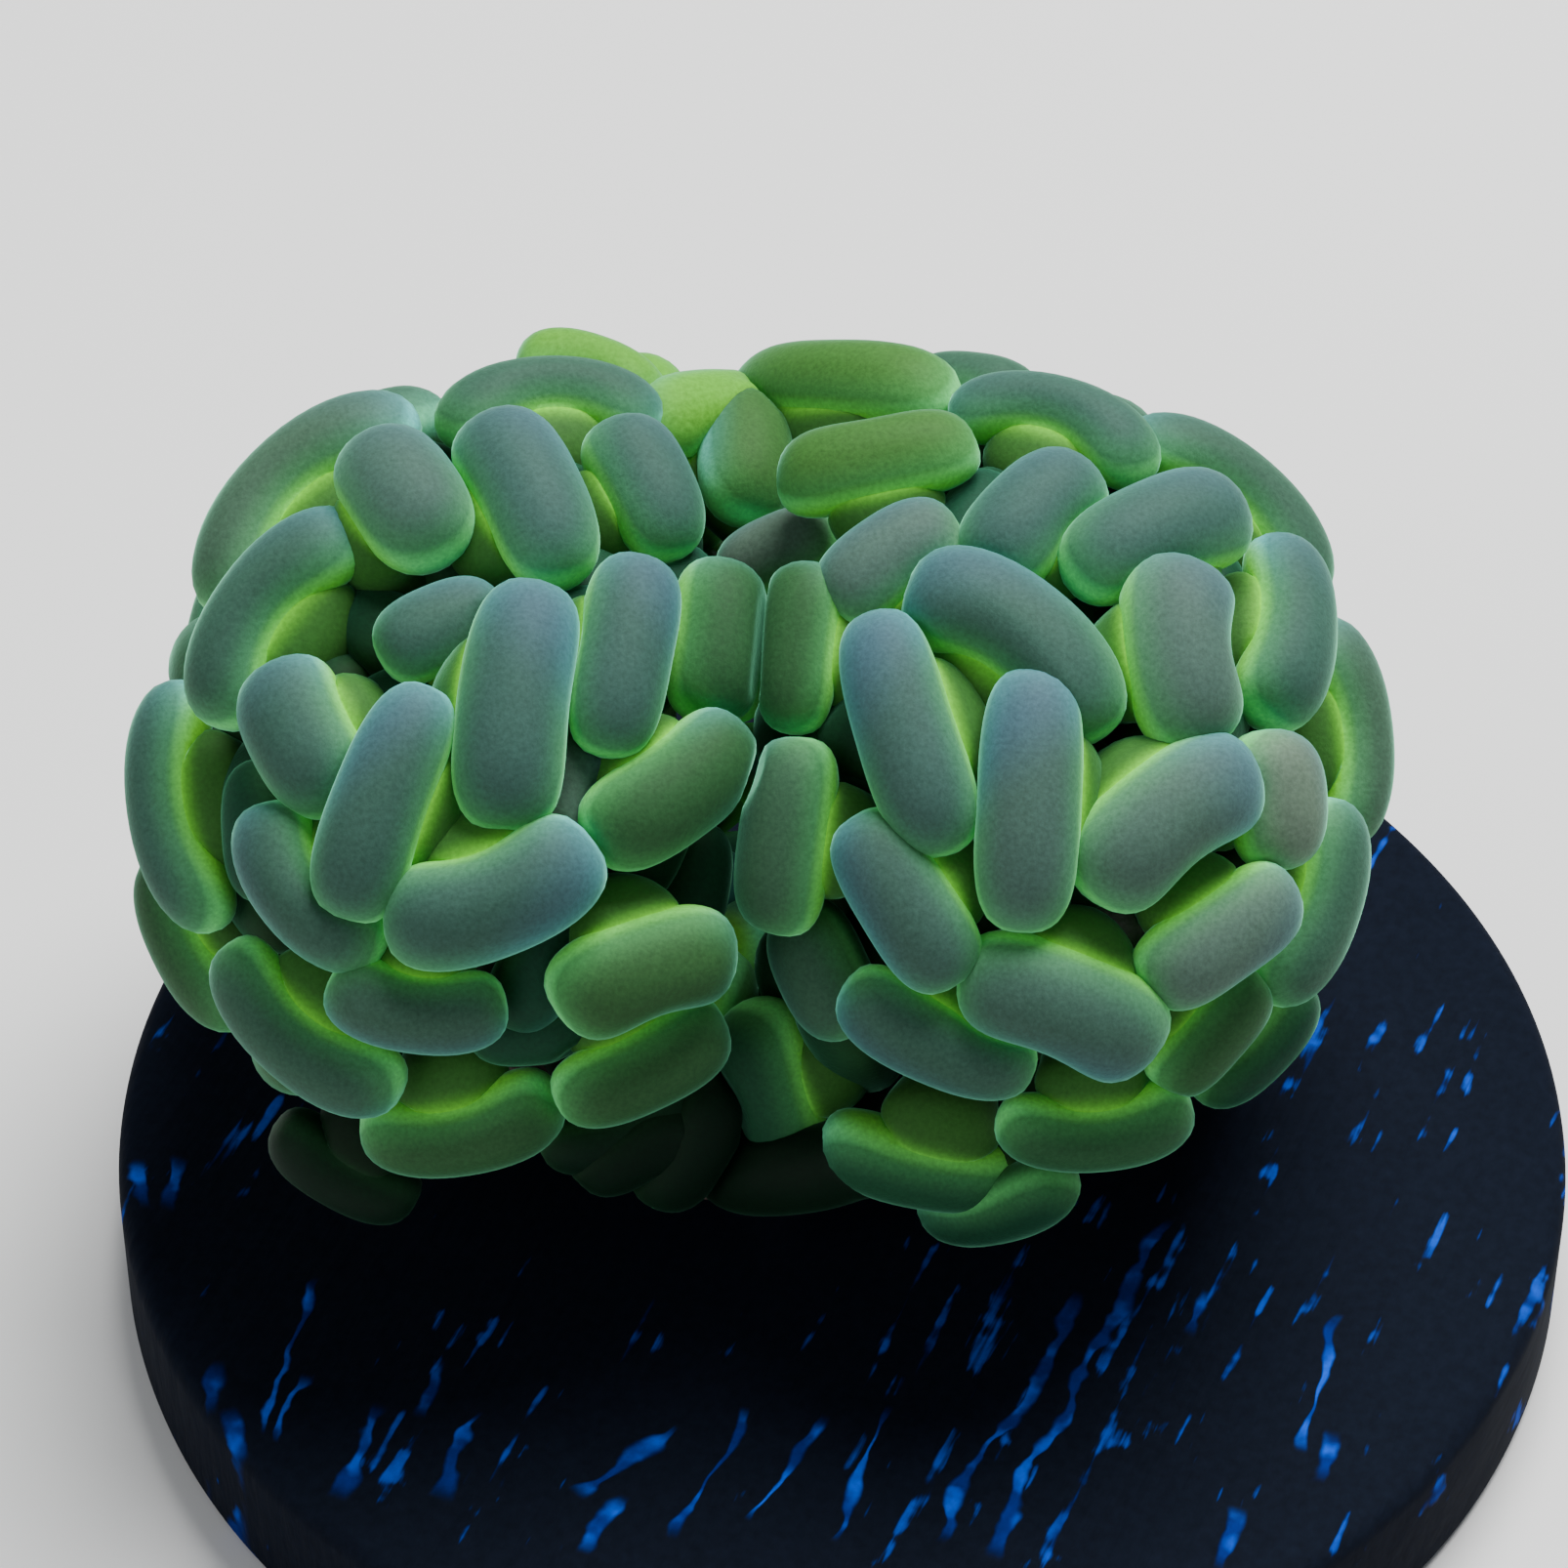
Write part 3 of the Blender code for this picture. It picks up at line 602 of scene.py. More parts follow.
def spine_points(head):
    """Points along the bent middle line of a head, between the centres of its round ends."""
    along, aside, outward = head_axes(head)
    half = 0.5 * (head["length"] - 0.9 * head["width"])
    travel = np.linspace(-half, half, 13)
    run, drift, _ = bent_line(travel, head["length"], head["bend"])
    return (np.array(head["centre"]) + np.outer(run, along)
            + np.outer(drift, aside) - np.outer(head_droop(travel), outward))


def soften(shifts, pairs, counts):
    """Even out the shifts of neighbouring points."""
    for _ in range(PRESS_SOFTENING):
        total = np.zeros_like(shifts)
        np.add.at(total, pairs[:, 0], shifts[pairs[:, 1]])
        np.add.at(total, pairs[:, 1], shifts[pairs[:, 0]])
        shifts = 0.5 * shifts + 0.5 * total / counts[:, None]
    return shifts


def way_out(points, spine, radius):
    """The way out of a head for each point, and how far it has to go."""
    gaps = points[:, None] - spine[None]
    distances = np.linalg.norm(gaps, axis=2)
    nearest = distances.argmin(axis=1)
    rows = np.arange(len(points))
    distance = distances[rows, nearest]
    away = gaps[rows, nearest] / np.maximum(distance, 1e-6)[:, None]
    return away, np.clip(radius + PRESS_GAP - distance, 0.0, PRESS_LIMIT * radius)


def press_heads(tentacles, pairs):
    """Where two heads would run into each other, flatten both, the deeper one more."""
    counts = np.bincount(pairs.ravel(), minlength=len(tentacles[0]["points"]))
    heads = [tentacle["head"] for tentacle in tentacles]
    spines = [spine_points(head) for head in heads]
    centres = np.array([head["centre"] for head in heads])
    moved = []
    for index, (tentacle, head) in enumerate(zip(tentacles, heads)):
        points = tentacle["points"].copy()
        soft = 1.0 - smooth_step(tentacle["down"], *PRESS_FADE)
        reach = np.linalg.norm(centres - centres[index], axis=1)
        near = [other for other in np.argsort(reach)
                if other != index and reach[other] < NEIGHBOUR_REACH]
        for other in near:
            toward = centres[other] - centres[index]
            height = toward @ np.array(head["outward"]) + heads[other]["lift"] - head["lift"]
            give = 0.5 + PRESS_BIAS * math.tanh(height / PRESS_REACH)
            away, depth = way_out(points, spines[other], 0.5 * heads[other]["width"])
            points += away * (depth * give * soft)[:, None]
        moved.append(tentacle["points"] + soften(points - tentacle["points"], pairs, counts))
    for tentacle, points in zip(tentacles, moved):
        tentacle["points"] = points


def build_tentacles(heads, lit_flesh, shaded_flesh):
    """Shape and press the tentacles, and join each polyp's outer and deep ones to a piece."""
    blank = model_tentacle_blank()
    rest = mesh_points(blank.data)
    rng = np.random.default_rng(SPREAD_SEED + 1)
    tentacles = []
    for name, lobe in LOBES.items():
        for head in heads[name]:
            tentacle = shape_tentacle(rest, head, lobe, rng.uniform(-TAPER, TAPER))
            tentacle["polyp"] = name
            tentacle["tone"] = rng.uniform(0.0, 1.0)
            tentacles.append(tentacle)
    pairs = np.array([edge.vertices[:] for edge in blank.data.edges])
    press_heads(tentacles, pairs)
    copies = {}
    for tentacle in tentacles:
        copy = blank.copy()
        copy.data = blank.data.copy()
        bpy.context.scene.collection.objects.link(copy)
        set_points(copy.data, tentacle["points"])
        for key in POINT_VALUES:
            set_attribute(copy.data, key, tentacle[key])
        set_attribute(copy.data, "tone", np.full(len(rest), tentacle["tone"]))
        for key in HEAD_VALUES:
            set_attribute(copy.data, key, np.full(len(rest), tentacle["head"][key]))
        # Heads with much painted shade take the shaded copy of the flesh, with less sheen
        dark = tentacle["head"]["shade"] >= DARK_SHADE
        copy.data.materials.append(shaded_flesh if dark else lit_flesh)
        layer = "deep_tentacles" if tentacle["head"]["lift"] <= FILL_LIFT else "tentacles"
        copies.setdefault((tentacle["polyp"], layer), []).append(copy)
    bpy.data.objects.remove(blank, do_unlink=True)
    pieces = {"left": [], "right": []}
    for (name, layer), group in copies.items():
        pieces[name].append(join_pieces(group, f"{layer}_{name}"))
    return pieces


# ---- the polyps' bodies ----

BODY_SIDES = 72
BODY_RINGS = 40
BODY_RIDGES = 18
RIDGE_HEIGHT = 0.5 * MM
FLESH_FLOOR = 15.5 * MM


def build_body(name, lobe, material):
    """The fleshy body under the stalks: the dome drawn in, folded into soft meridian ridges."""
    deselect_all()
    bpy.ops.mesh.primitive_uv_sphere_add(segments=BODY_SIDES, ring_count=BODY_RINGS, radius=1.0)
    body = bpy.context.object
    body.name = f"body_{name}"
    centre = Vector(lobe["centre"]) * MM
    limit = FORK_X + lobe["side"] * 0.5 * GAP

    def level_outside(point):
        if (point.x - limit) * lobe["side"] < 0.0 or point.z < FLESH_FLOOR:
            return 0.0
        return 0.0 if body_level(point) > 1.0 else 2.0

    for vert in body.data.vertices:
        direction = vert.co.normalized()
        ridge = math.cos(BODY_RIDGES * math.atan2(direction.y, direction.x))
        ridge *= 1.0 - direction.z ** 2
        place = first_inside(level_outside, centre, direction, DOME_REACH)
        vert.co = place - direction * (0.5 * RIDGE_HEIGHT * (1.0 - ridge))
    body.data.shade_smooth()
    body.data.materials.append(material)
    return body


# ---- skeleton ----

RIB_COUNT = 26
RIB_HEIGHT = 0.5 * MM
RIB_SHARPNESS = 1.6
FOOT_RIBS = 0.35                     # how high the ribs are at the foot, beside the top
COLUMN_SIDES = 8 * RIB_COUNT
CAP_INSETS = 3
CAP_INSET = 0.22                     # of the column's radius
BRANCH_RINGS = 26
STEM_RINGS = 18
BRANCH_FOOT_WIDTH = 5.6 * MM
BRANCH_FOOT_DEPTH = 6.8 * MM
CALICE_WIDTH = 8.2 * MM
CALICE_DEPTH = 11.5 * MM
CALICE_FLARE = 0.8
STEM_HALF_WIDTH = 11.5 * MM
STEM_HALF_DEPTH = 7.6 * MM
FOOT_SPREAD = 1.28
FOOT_WAVE = 0.05
BRANCH_GRAIN = (0.9 * MM, 0.16 * MM)   # size and height
STEM_GRAIN = (1.1 * MM, 0.256 * MM)
STEM_RIBS = 0.022                    # of its width


def finish_stone(piece, material, size, height):
    """Push a surface in and out by a cloud pattern of the given grain, and dress it."""
    texture = bpy.data.textures.new(f"{piece.name}_grain", "CLOUDS")
    texture.noise_scale = size
    texture.noise_depth = 3
    change = piece.modifiers.new("grain", "DISPLACE")
    change.texture = texture
    change.texture_coords = "LOCAL"
    change.strength = height
    change.mid_level = 0.5
    bpy.context.view_layer.objects.active = piece
    bpy.ops.object.modifier_apply(modifier=change.name)
    piece.data.shade_smooth()
    piece.data.materials.append(material)


def model_column(name, rings, low, high):
    """An upright column of closed rings, extruded up from a circle."""
    deselect_all()
    bpy.ops.mesh.primitive_circle_add(vertices=COLUMN_SIDES, radius=1.0, fill_type="NGON",
                                      location=(0.0, 0.0, low))
    column = bpy.context.object
    column.name = name
    bpy.ops.object.transform_apply(location=True)
    bpy.ops.object.mode_set(mode="EDIT")
    bpy.ops.mesh.select_all(action="SELECT")
    bpy.ops.mesh.normals_make_consistent(inside=False)
    step = (high - low) / rings
    for _ in range(rings):
        bpy.ops.mesh.extrude_region_move(TRANSFORM_OT_translate={"value": (0.0, 0.0, step)})
    for _ in range(CAP_INSETS):
        bpy.ops.mesh.inset(thickness=CAP_INSET, depth=0.0)
    bpy.ops.mesh.select_all(action="SELECT")
    bpy.ops.mesh.normals_make_consistent(inside=False)
    bpy.ops.object.mode_set(mode="OBJECT")
    return column


def build_branch(name, side, material):
    """A leaning, flaring branch with sharp ribs running up to its calice."""
    lobe = LOBES[name]
    foot_z = BRANCH_LOW.z
    top_z = BRANCH_HIGH.z
    branch = model_column(f"branch_{name}", BRANCH_RINGS, foot_z, top_z)
    foot = Vector((FORK_X + side * (BRANCH_FOOT_WIDTH + GAP), FORK_Y, foot_z))
    top = Vector((lobe["centre"][0] * MM, lobe["centre"][1] * MM, top_z))
    for vert in branch.data.vertices:
        share = (vert.co.z - foot_z) / (top_z - foot_z)
        turn = math.atan2(vert.co.y, vert.co.x)
        reach = min(math.hypot(vert.co.x, vert.co.y), 1.0)
        wave = 0.5 + 0.5 * math.cos(turn * RIB_COUNT)
        swell = share ** CALICE_FLARE
        half_width = BRANCH_FOOT_WIDTH + (CALICE_WIDTH - BRANCH_FOOT_WIDTH) * swell
        half_depth = BRANCH_FOOT_DEPTH + (CALICE_DEPTH - BRANCH_FOOT_DEPTH) * swell
        rib = RIB_HEIGHT * (2.0 * wave ** RIB_SHARPNESS - 1.0)
        rib *= FOOT_RIBS + (1.0 - FOOT_RIBS) * share
        axis = foot.lerp(top, share)
        vert.co = Vector((axis.x + math.cos(turn) * (half_width + rib) * reach,
                          axis.y + math.sin(turn) * (half_depth + rib) * reach, axis.z))
    finish_stone(branch, material, *BRANCH_GRAIN)
    return branch


def build_stem(material):
    """The stump under the fork, with a foot that spreads over the disc."""
    foot_z = DISC_TOP + GAP
    top_z = BRANCH_LOW.z - GAP
    stem = model_column("stem", STEM_RINGS, foot_z, top_z)
    for vert in stem.data.vertices:
        share = (vert.co.z - foot_z) / (top_z - foot_z)
        turn = math.atan2(vert.co.y, vert.co.x)
        spread = 1.0 + (FOOT_SPREAD - 1.0) * (1.0 - share) ** 2
        lobing = 1.0 + FOOT_WAVE * (1.0 - share) * math.sin(3.0 * turn)
        rib = 1.0 + STEM_RIBS * math.cos(turn * RIB_COUNT) * share
        vert.co = Vector((FORK_X + vert.co.x * STEM_HALF_WIDTH * spread * lobing * rib,
                          FORK_Y + vert.co.y * STEM_HALF_DEPTH * spread * lobing * rib, vert.co.z))
    finish_stone(stem, material, *STEM_GRAIN)
    return stem


# ---- disc ----

DISC_SIDES = 256
DISC_INSETS = 60
DISC_MARGIN = 0.1 * MM               # how far the look stays inside the solid
RIM_ROUNDING = 0.9 * MM
FACE_RADIUS = DISC_RADIUS - DISC_MARGIN - RIM_ROUNDING
FACE_CUT = 0.97                      # of the face's radius, from its rim in, is cut into rings


def build_disc(material):
    """The round disc, with rounded rims and a face cut into rings for even shading."""
    deselect_all()
    bpy.ops.mesh.primitive_cylinder_add(vertices=DISC_SIDES, radius=DISC_RADIUS - DISC_MARGIN,
                                        depth=DISC_TOP, location=(0.0, 0.0, 0.5 * DISC_TOP))
    disc = bpy.context.object
    disc.name = "disc"
    bpy.ops.object.transform_apply(location=True)
    bpy.ops.object.mode_set(mode="EDIT")
    pick_faces(disc, lambda centre, normal: abs(normal.z) > 0.9)
    bpy.ops.mesh.region_to_loop()
    bpy.ops.mesh.bevel(offset=RIM_ROUNDING, segments=4, affect="EDGES")
    pick_faces(disc, lambda centre, normal: normal.z > 0.99)
    step = FACE_CUT * FACE_RADIUS / DISC_INSETS
    for _ in range(DISC_INSETS):
        bpy.ops.mesh.inset(thickness=step, depth=0.0)
    bpy.ops.object.mode_set(mode="OBJECT")
    disc.data.shade_smooth()
    disc.data.materials.append(material)
    return disc


# ---- materials ----

def add_node(tree, kind, inputs, **settings):
    """Add a node, set its options, and set or link its inputs by index or name."""
    node = tree.nodes.new(kind)
    for option, value in settings.items():
        setattr(node, option, value)
    for key, value in inputs.items():
        if isinstance(value, bpy.types.NodeSocket):
            tree.links.new(value, node.inputs[key])
        else:
            node.inputs[key].default_value = value
    return node


def read_attribute(tree, name):
    """The value that a piece's points hold under a name."""
    return add_node(tree, "ShaderNodeAttribute", {}, attribute_name=name).outputs["Fac"]


def ramp(tree, value, low, high, to_low=0.0, to_high=1.0):
    """A smooth step of a value from low to high."""
    inputs = {"Value": value, "From Min": low, "From Max": high, "To Min": to_low, "To Max": to_high}
    return add_node(tree, "ShaderNodeMapRange", inputs,
                    interpolation_type="SMOOTHSTEP").outputs["Result"]


def mix(tree, share, first, second):
    """Go from the first colour to the second by a share."""
    inputs = {0: share, 6: first, 7: second}
    return add_node(tree, "ShaderNodeMix", inputs, data_type="RGBA").outputs[2]


def math_node(tree, operation, first, second=0.0):
    return add_node(tree, "ShaderNodeMath", {0: first, 1: second}, operation=operation).outputs[0]


def new_material(name, **sockets):
    """A material with its Principled shader's own sockets set."""
    material = bpy.data.materials.new(name)
    material.use_nodes = True
    tree = material.node_tree
    shader = tree.nodes["Principled BSDF"]
    for key, value in sockets.items():
        shader.inputs[key.replace("_", " ")].default_value = value
    return material, tree, shader


def make_grain_group():
    """A fine speckle: a value that varies about 1, and a height, at a chosen grain size."""
    tree = bpy.data.node_groups.new("fine_grain", "ShaderNodeTree")
    for name in ("Grains per metre", "Contrast"):
        tree.interface.new_socket(name, in_out="INPUT", socket_type="NodeSocketFloat")
    for name in ("Value", "Height"):
        tree.interface.new_socket(name, in_out="OUTPUT", socket_type="NodeSocketFloat")
    given = tree.nodes.new("NodeGroupInput")
    result = tree.nodes.new("NodeGroupOutput")
    place = tree.nodes.new("ShaderNodeTexCoord").outputs["Object"]
    noise = add_node(tree, "ShaderNodeTexNoise",
                     {"Vector": place, "Scale": given.outputs[0], "Detail": 3.0, "Roughness": 0.6})
    centred = math_node(tree, "SUBTRACT", noise.outputs["Fac"], 0.5)
    scaled = math_node(tree, "MULTIPLY", centred, given.outputs[1])
    tree.links.new(math_node(tree, "ADD", scaled, 1.0), result.inputs[0])
    tree.links.new(noise.outputs["Fac"], result.inputs[1])
    return tree


def place_group(tree, group, **values):
    """Put a node group in a material, with its own values."""
    node = tree.nodes.new("ShaderNodeGroup")
    node.node_tree = group
    for key, value in values.items():
        node.inputs[key.replace("_", " ")].default_value = value
    return node


def speckle(tree, shader, colour, grain):
    """Brighten and darken the base colour by a grain's value."""
    speckled = add_node(tree, "ShaderNodeHueSaturation",
                        {"Color": colour, "Value": grain.outputs["Value"]})
    tree.links.new(speckled.outputs["Color"], shader.inputs["Base Color"])


def raise_bumps(tree, shader, height, strength, distance):
    """Let a height bump the surface."""
    inputs = {"Height": height, "Strength": strength, "Distance": distance}
    bump = add_node(tree, "ShaderNodeBump", inputs)
    tree.links.new(bump.outputs["Normal"], shader.inputs["Normal"])


FACE_TEAL = (0.033, 0.083, 0.071, 1.0)
FACE_GREEN = (0.026, 0.080, 0.022, 1.0)
SKY_BLUE = (0.044, 0.094, 0.128, 1.0)
FACE_CREAM = (0.130, 0.175, 0.115, 1.0)
# Rims: partly the flesh's own paler edge, partly painted rim light
RIM_GREEN = (0.140, 0.640, 0.190, 1.0)
RIM_BLUE = (0.110, 0.480, 0.520, 1.0)
LIME = (0.160, 0.560, 0.022, 1.0)
STALK_OLIVE = (0.030, 0.105, 0.018, 1.0)
DEEP_GREEN = (0.006, 0.030, 0.005, 1.0)
# Painted shade: the green of shaded heads, and the near black of the darkest
SOFT_SHADE_GREEN = (0.006, 0.060, 0.030, 1.0)
HEAVY_SHADE_GREEN = (0.001, 0.008, 0.003, 1.0)
# Painted glow: emission at the rims and creases that stands in for light
PAINTED_GLOW = (0.014, 0.070, 0.012, 1.0)
NO_GLOW = (0.0, 0.0, 0.0, 1.0)
# Stone: darker than clean cream limestone, partly an algae film and partly painted shade
LIMESTONE = (0.150, 0.125, 0.090, 1.0)
PINK_CRUST = (0.115, 0.042, 0.064, 1.0)
ALGAE_AND_SHADE_STONE = (0.034, 0.028, 0.020, 1.0)
DISC_BLACK = (0.003, 0.005, 0.011, 1.0)
DEEP_BLUE = (0.001, 0.015, 0.150, 1.0)
BRIGHT_BLUE = (0.002, 0.072, 0.540, 1.0)


def colour_face(tree, values, bare):
    """A head's face: teal, green or lime, with a cream or blue cast, and painted shade on the shaded
    heads.
    """
    face = mix(tree, values["green"], FACE_TEAL, FACE_GREEN)
    face = mix(tree, values["bright"], face, LIME)
    cream = math_node(tree, "MULTIPLY", ramp(tree, values["tone"], 0.6, 1.0, 0.0, 0.25), bare)
    face = mix(tree, math_node(tree, "MAXIMUM", cream, values["cream"]), face, FACE_CREAM)
    blue = math_node(tree, "MULTIPLY", ramp(tree, values["sky"], 0.0, 1.0, 0.0, 0.8), bare)
    face = mix(tree, blue, face, SKY_BLUE)
    return mix(tree, ramp(tree, values["shade"], 0.0, 0.6, 0.0, 0.9), face, SOFT_SHADE_GREEN)


def colour_rim(tree, values, bare):
    """The rim's colour, bluer on the side to the sky, and how much of it shows round a head: partly
    the flesh's own paler edge, partly painted rim light.
    """
    blue = math_node(tree, "MULTIPLY", ramp(tree, values["sky"], -0.2, 0.7),
                     ramp(tree, bare, 0.0, 1.0, 0.85, 1.0))
    crown = values["crown"]
    edge = math_node(tree, "MAXIMUM", ramp(tree, crown, 0.52, -0.02),
                     ramp(tree, crown, 0.90, 0.20, 0.0, 0.28))
    share = math_node(tree, "MULTIPLY", edge, ramp(tree, crown, -0.6, 0.0, 0.25, 0.9))
    return mix(tree, blue, RIM_GREEN, RIM_BLUE), share


def colour_underside(tree, values, rim, lit):
    """Lime necks under the lit heads, and olive stalks darkened by painted shade deep under the heads
    and on shaded heads.
    """
    lime = math_node(tree, "MULTIPLY", ramp(tree, values["neck"], 0.35, 0.90), lit)
    under = mix(tree, lime, rim, LIME)
    stalk = mix(tree, ramp(tree, values["down"], 0.0, 0.25), under, STALK_OLIVE)
    # Painted shade: darker deep under the heads, and darker on the shaded heads
    stalk = mix(tree, values["depth"], stalk, DEEP_GREEN)
    return mix(tree, ramp(tree, values["shade"], 0.35, 1.0, 0.0, 0.95), stalk, HEAVY_SHADE_GREEN)


def make_tentacle_material(grain_group, name, sheen):
    """Soft flesh: teal to green faces, mint rims partly painted as rim light, lime necks, stalks
    darkened by painted shade, and a painted glow.
    """
    material, tree, shader = new_material(
        name, Roughness=0.65, IOR=1.35, Specular_IOR_Level=0.2,
        Subsurface_Weight=0.2, Subsurface_Scale=0.0010, Sheen_Weight=sheen,
        Sheen_Roughness=0.30, Sheen_Tint=(0.30, 1.0, 0.60, 1.0), Emission_Strength=1.0)
    shader.inputs["Subsurface Radius"].default_value = (0.6, 1.0, 0.7)
    values = {key: read_attribute(tree, key) for key in (*POINT_VALUES, *HEAD_VALUES, "tone")}
    bare = math_node(tree, "SUBTRACT", 1.0, values["green"])
    lit = ramp(tree, values["shade"], 1.0, 0.2)
    face = colour_face(tree, values, bare)
    rim_colour, rim_share = colour_rim(tree, values, bare)
    rim = mix(tree, rim_share, face, rim_colour)
    grain = place_group(tree, grain_group, Grains_per_metre=4500.0, Contrast=0.9)
    speckle(tree, shader, colour_underside(tree, values, rim, lit), grain)
    # A painted glow on the lit rims, fading into the hollows
    painted_glow_share = math_node(tree, "MULTIPLY", rim_share, ramp(tree, values["depth"], 0.5, 0.0))
    painted_glow_share = math_node(tree, "MULTIPLY", painted_glow_share, lit)
    glow = mix(tree, painted_glow_share, NO_GLOW, PAINTED_GLOW)
    tree.links.new(glow, shader.inputs["Emission Color"])
    raise_bumps(tree, shader, grain.outputs["Height"], 0.12, 0.2 * MM)
    return material


def make_body_material(grain_group):
    """Wet dark green flesh with a soft grain."""
    material, tree, shader = new_material("body_flesh", Roughness=0.5, IOR=1.36)
    grain = place_group(tree, grain_group, Grains_per_metre=900.0, Contrast=0.9)
    speckle(tree, shader, DEEP_GREEN, grain)
    raise_bumps(tree, shader, grain.outputs["Height"], 0.4, 0.4 * MM)
    return material


def make_skeleton_material(grain_group):
    """Rough limestone with pink crust, darker up under the living flesh: partly algae-grown stone,
    partly painted shade.
    """
    material, tree, shader = new_material("limestone", Roughness=0.85)
    place = tree.nodes.new("ShaderNodeTexCoord").outputs["Object"]
    patches = add_node(tree, "ShaderNodeTexNoise", {"Vector": place, "Scale": 190.0, "Detail": 4.0})
    crust = ramp(tree, patches.outputs["Fac"], 0.50, 0.60)
    base = mix(tree, crust, LIMESTONE, PINK_CRUST)
    height = add_node(tree, "ShaderNodeSeparateXYZ", {0: place}).outputs["Z"]
    # Painted shade, with some algae, darkens the branches up under the flesh
    algae_and_shade = ramp(tree, height, BRANCH_LOW.z - 2.0 * MM, BRANCH_LOW.z + 3.0 * MM)
    base = mix(tree, algae_and_shade, base, ALGAE_AND_SHADE_STONE)
    grain = place_group(tree, grain_group, Grains_per_metre=2400.0, Contrast=0.8)
    speckle(tree, shader, base, grain)
    raise_bumps(tree, shader, grain.outputs["Height"], 0.6, 0.3 * MM)
    return material


# The longest blue streaks on the disc's face: from, to (mm) and half width (mm)
STREAKS = (
    ((16.5, -7.0), (6.5, -29.0), 0.46),
    ((12.0, -12.0), (4.0, -28.0), 0.34),
    ((2.5, -19.5), (-1.0, -28.0), 0.28),
    ((25.0, -13.5), (22.0, -22.5), 0.24),
    ((-5.0, -19.5), (-8.5, -28.0), 0.28),
    ((-1.0, -20.0), (-4.5, -27.0), 0.26),
    ((-11.0, -25.0), (-12.5, -29.0), 0.50),
    ((-8.5, -20.5), (-13.5, -25.0), 0.50),
    ((-17.5, -20.0), (-20.0, -25.5), 0.40),
    ((-20.0, -16.5), (-20.5, -20.5), 0.32),
    ((-22.5, -19.5), (-25.0, -25.5), 0.50),
    ((-26.5, -17.5), (-28.0, -22.0), 0.32),
    ((-26.5, -11.0), (-28.5, -21.5), 0.30),
    ((-30.5, -19.5), (-29.5, -23.0), 0.50),
    ((-31.0, -16.5), (-31.5, -20.0), 0.60),
    ((-33.5, -3.0), (-35.0, -6.5), 0.50),
    ((-35.5, -3.0), (-36.0, -6.5), 0.60),
    ((24.0, -21.0), (23.0, -24.5), 0.45),
    ((19.5, -26.0), (18.0, -30.0), 0.40),
    ((18.5, -12.0), (17.0, -15.0), 0.30),
)


def make_streak_group():
    """A beaded, slightly wandering line: 1 on it and 0 away from it."""
    tree = bpy.data.node_groups.new("streak", "ShaderNodeTree")
    for name in ("Start", "Along", "Across"):
        tree.interface.new_socket(name, in_out="INPUT", socket_type="NodeSocketVector")
    for name in ("Length", "Half width"):
        tree.interface.new_socket(name, in_out="INPUT", socket_type="NodeSocketFloat")
    tree.interface.new_socket("Value", in_out="OUTPUT", socket_type="NodeSocketFloat")
    given = tree.nodes.new("NodeGroupInput").outputs
    result = tree.nodes.new("NodeGroupOutput")
    place = tree.nodes.new("ShaderNodeTexCoord").outputs["Object"]
    offset = add_node(tree, "ShaderNodeVectorMath", {0: place, 1: given["Start"]},
                      operation="SUBTRACT").outputs["Vector"]
    travel = add_node(tree, "ShaderNodeVectorMath", {0: offset, 1: given["Along"]},
                      operation="DOT_PRODUCT").outputs["Value"]
    aside = add_node(tree, "ShaderNodeVectorMath", {0: offset, 1: given["Across"]},
                     operation="DOT_PRODUCT").outputs["Value"]
    wander = add_node(tree, "ShaderNodeTexNoise", {"Vector": place, "Scale": 160.0, "Detail": 2.0})
    beads = add_node(tree, "ShaderNodeTexNoise", {"Vector": place, "Scale": 380.0, "Detail": 2.0})
    shift = math_node(tree, "MULTIPLY", math_node(tree, "SUBTRACT", wander.outputs["Fac"], 0.5),
                      3.0 * MM)
    gap = math_node(tree, "ABSOLUTE", math_node(tree, "ADD", aside, shift))
    width = math_node(tree, "MULTIPLY", given["Half width"],
                      ramp(tree, beads.outputs["Fac"], 0.35, 0.65, 0.40, 1.5))
    line = ramp(tree, gap, width, math_node(tree, "MULTIPLY", width, 0.4))
    left = math_node(tree, "SUBTRACT", given["Length"], travel)
    ends = math_node(tree, "MULTIPLY", ramp(tree, travel, 0.0, 1.5 * MM),
                     ramp(tree, left, 0.0, 1.5 * MM))
    tree.links.new(math_node(tree, "MULTIPLY", line, ends), result.inputs["Value"])
    return tree


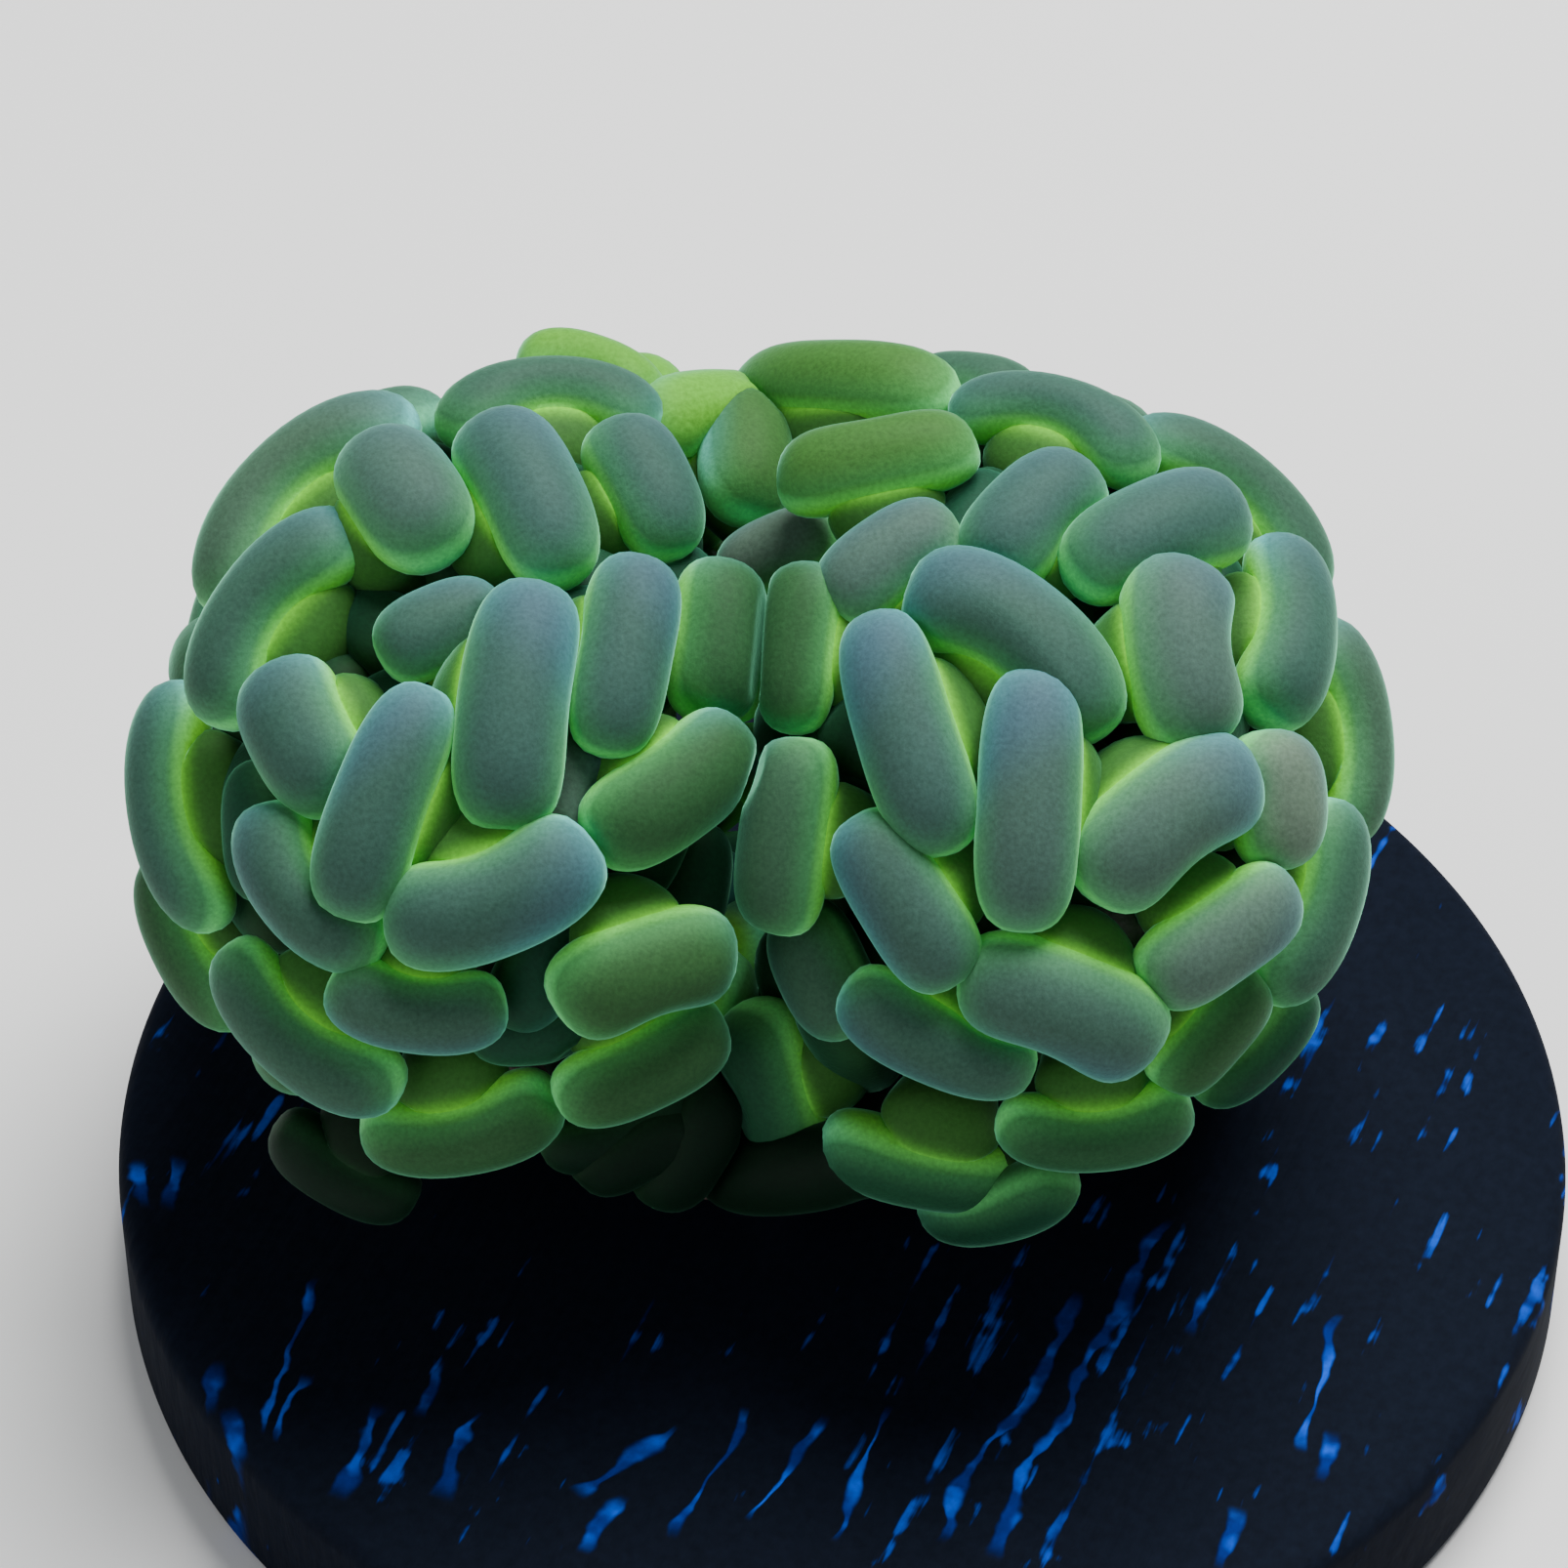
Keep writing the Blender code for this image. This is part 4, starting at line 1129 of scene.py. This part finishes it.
def make_disc_material(grain_group):
    """Near-black cast material with beaded blue streaks and flecks."""
    material, tree, shader = new_material("disc_cast", Roughness=0.85, Specular_IOR_Level=0.06)
    place = tree.nodes.new("ShaderNodeTexCoord").outputs["Object"]
    turned = add_node(tree, "ShaderNodeMapping", {"Vector": place,
                                                 "Rotation": (0.0, 0.0, math.radians(-67.0))})
    long_way = add_node(tree, "ShaderNodeMapping", {"Vector": turned.outputs["Vector"],
                                                   "Scale": (110.0, 1100.0, 300.0)})
    scratches = add_node(tree, "ShaderNodeTexNoise", {"Vector": long_way.outputs["Vector"],
                                                     "Scale": 1.0, "Detail": 3.0})
    patches = add_node(tree, "ShaderNodeTexNoise", {"Vector": place, "Scale": 75.0, "Detail": 3.0})
    beads = add_node(tree, "ShaderNodeTexNoise", {"Vector": place, "Scale": 420.0, "Detail": 2.0})
    density = ramp(tree, patches.outputs["Fac"], 0.38, 0.62, -0.12, 0.018)
    level = math_node(tree, "ADD", scratches.outputs["Fac"], density)
    beaded = math_node(tree, "ADD", level, ramp(tree, beads.outputs["Fac"], 0.4, 0.7, -0.05, 0.07))
    fleck = ramp(tree, beaded, 0.62, 0.72, 0.0, 0.7)
    streak_group = make_streak_group()
    for start, end, half_width in STREAKS:
        first = Vector((*start, 0.0)) * MM
        along = Vector((*end, 0.0)) * MM - first
        length = along.length
        along.normalize()
        streak = place_group(tree, streak_group, Start=first, Along=along,
                             Across=(-along.y, along.x, 0.0), Length=length,
                             Half_width=half_width * MM)
        fleck = math_node(tree, "MAXIMUM", fleck, streak.outputs["Value"])
    blue = mix(tree, ramp(tree, beads.outputs["Fac"], 0.45, 0.65), DEEP_BLUE, BRIGHT_BLUE)
    base = mix(tree, fleck, DISC_BLACK, blue)
    grain = place_group(tree, grain_group, Grains_per_metre=1800.0, Contrast=1.0)
    speckle(tree, shader, base, grain)
    height = math_node(tree, "ADD", level, math_node(tree, "MULTIPLY", fleck, 0.3))
    raise_bumps(tree, shader, height, 0.5, 0.4 * MM)
    return material


# ---- stage ----

CAMERA_LENS = 137.9                  # mm, on a 36 mm sensor
SKY_COLOUR = (0.80, 0.84, 0.90, 1.0)
SKY_STRENGTH = 0.35
FLOOR_COLOUR = (0.72, 0.72, 0.71, 1.0)
FLOOR_SIZE = 4.0                     # m
LIGHTS = {                           # place and size in m, and power in W
    "key_light": ((0.10, 0.14, 0.42), 0.30, 4.8),
    "fill_light": ((-0.35, -0.40, 0.30), 0.45, 1.1),
}


def build_stage():
    """The pale floor, which isn't part of the object."""
    deselect_all()
    bpy.ops.mesh.primitive_plane_add(size=FLOOR_SIZE)
    floor = bpy.context.object
    floor.name = "floor"
    material, _, shader = new_material("pale_floor", Roughness=0.8)
    shader.inputs["Base Color"].default_value = FLOOR_COLOUR
    floor.data.materials.append(material)


def add_area_light(name, place, size, power):
    """A round soft light aimed at the coral."""
    data = bpy.data.lights.new(name, "AREA")
    data.shape = "DISK"
    data.size = size
    data.energy = power
    light = bpy.data.objects.new(name, data)
    bpy.context.scene.collection.objects.link(light)
    light.location = place
    light.rotation_euler = (PLAN_ORIGIN - Vector(place)).to_track_quat("-Z", "Y").to_euler()


def build_lights():
    """A high key light behind, a low fill in front, and a pale sky all round."""
    for name, values in LIGHTS.items():
        add_area_light(name, *values)
    world = bpy.data.worlds.new("studio")
    world.use_nodes = True
    background = world.node_tree.nodes["Background"]
    background.inputs["Color"].default_value = SKY_COLOUR
    background.inputs["Strength"].default_value = SKY_STRENGTH
    bpy.context.scene.world = world


def build_camera():
    """The camera, on the line that the display plan is read along."""
    data = bpy.data.cameras.new("camera")
    data.lens = CAMERA_LENS
    data.sensor_width = 36.0
    data.clip_start = 0.01
    camera = bpy.data.objects.new("camera", data)
    bpy.context.scene.collection.objects.link(camera)
    camera.location = PLAN_ORIGIN + PLAN_OUT * PLAN_REACH
    camera.rotation_euler = (-PLAN_OUT).to_track_quat("-Z", "Y").to_euler()
    bpy.context.scene.camera = camera


def main():
    """Build every piece, say what it rides on, and hide the solid it stands for."""
    build_camera()
    build_lights()
    build_stage()
    grain_group = make_grain_group()
    # A lit copy of the flesh and a shaded one, with little sheen, as painted shade on the darkest
    # heads
    lit_flesh = make_tentacle_material(grain_group, "tentacle_flesh", 0.60)
    shaded_flesh = make_tentacle_material(grain_group, "tentacle_flesh_shaded", 0.08)
    body_flesh = make_body_material(grain_group)
    limestone = make_skeleton_material(grain_group)
    disc_cast = make_disc_material(grain_group)

    disc = build_disc(disc_cast)
    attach(disc, "root")
    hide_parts("frag_disc")
    stem = build_stem(limestone)
    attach(stem, "root")
    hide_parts("skeleton_stem")
    tentacles = build_tentacles(all_heads(), lit_flesh, shaded_flesh)
    for name, lobe in LOBES.items():
        branch = build_branch(name, lobe["side"], limestone)
        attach(branch, "root")
        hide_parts(f"skeleton_branch_{name}")
        body = build_body(name, lobe, body_flesh)
        for piece in (body, *tentacles[name]):
            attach(piece, "root")
            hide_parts(f"polyp_{name}")


main()
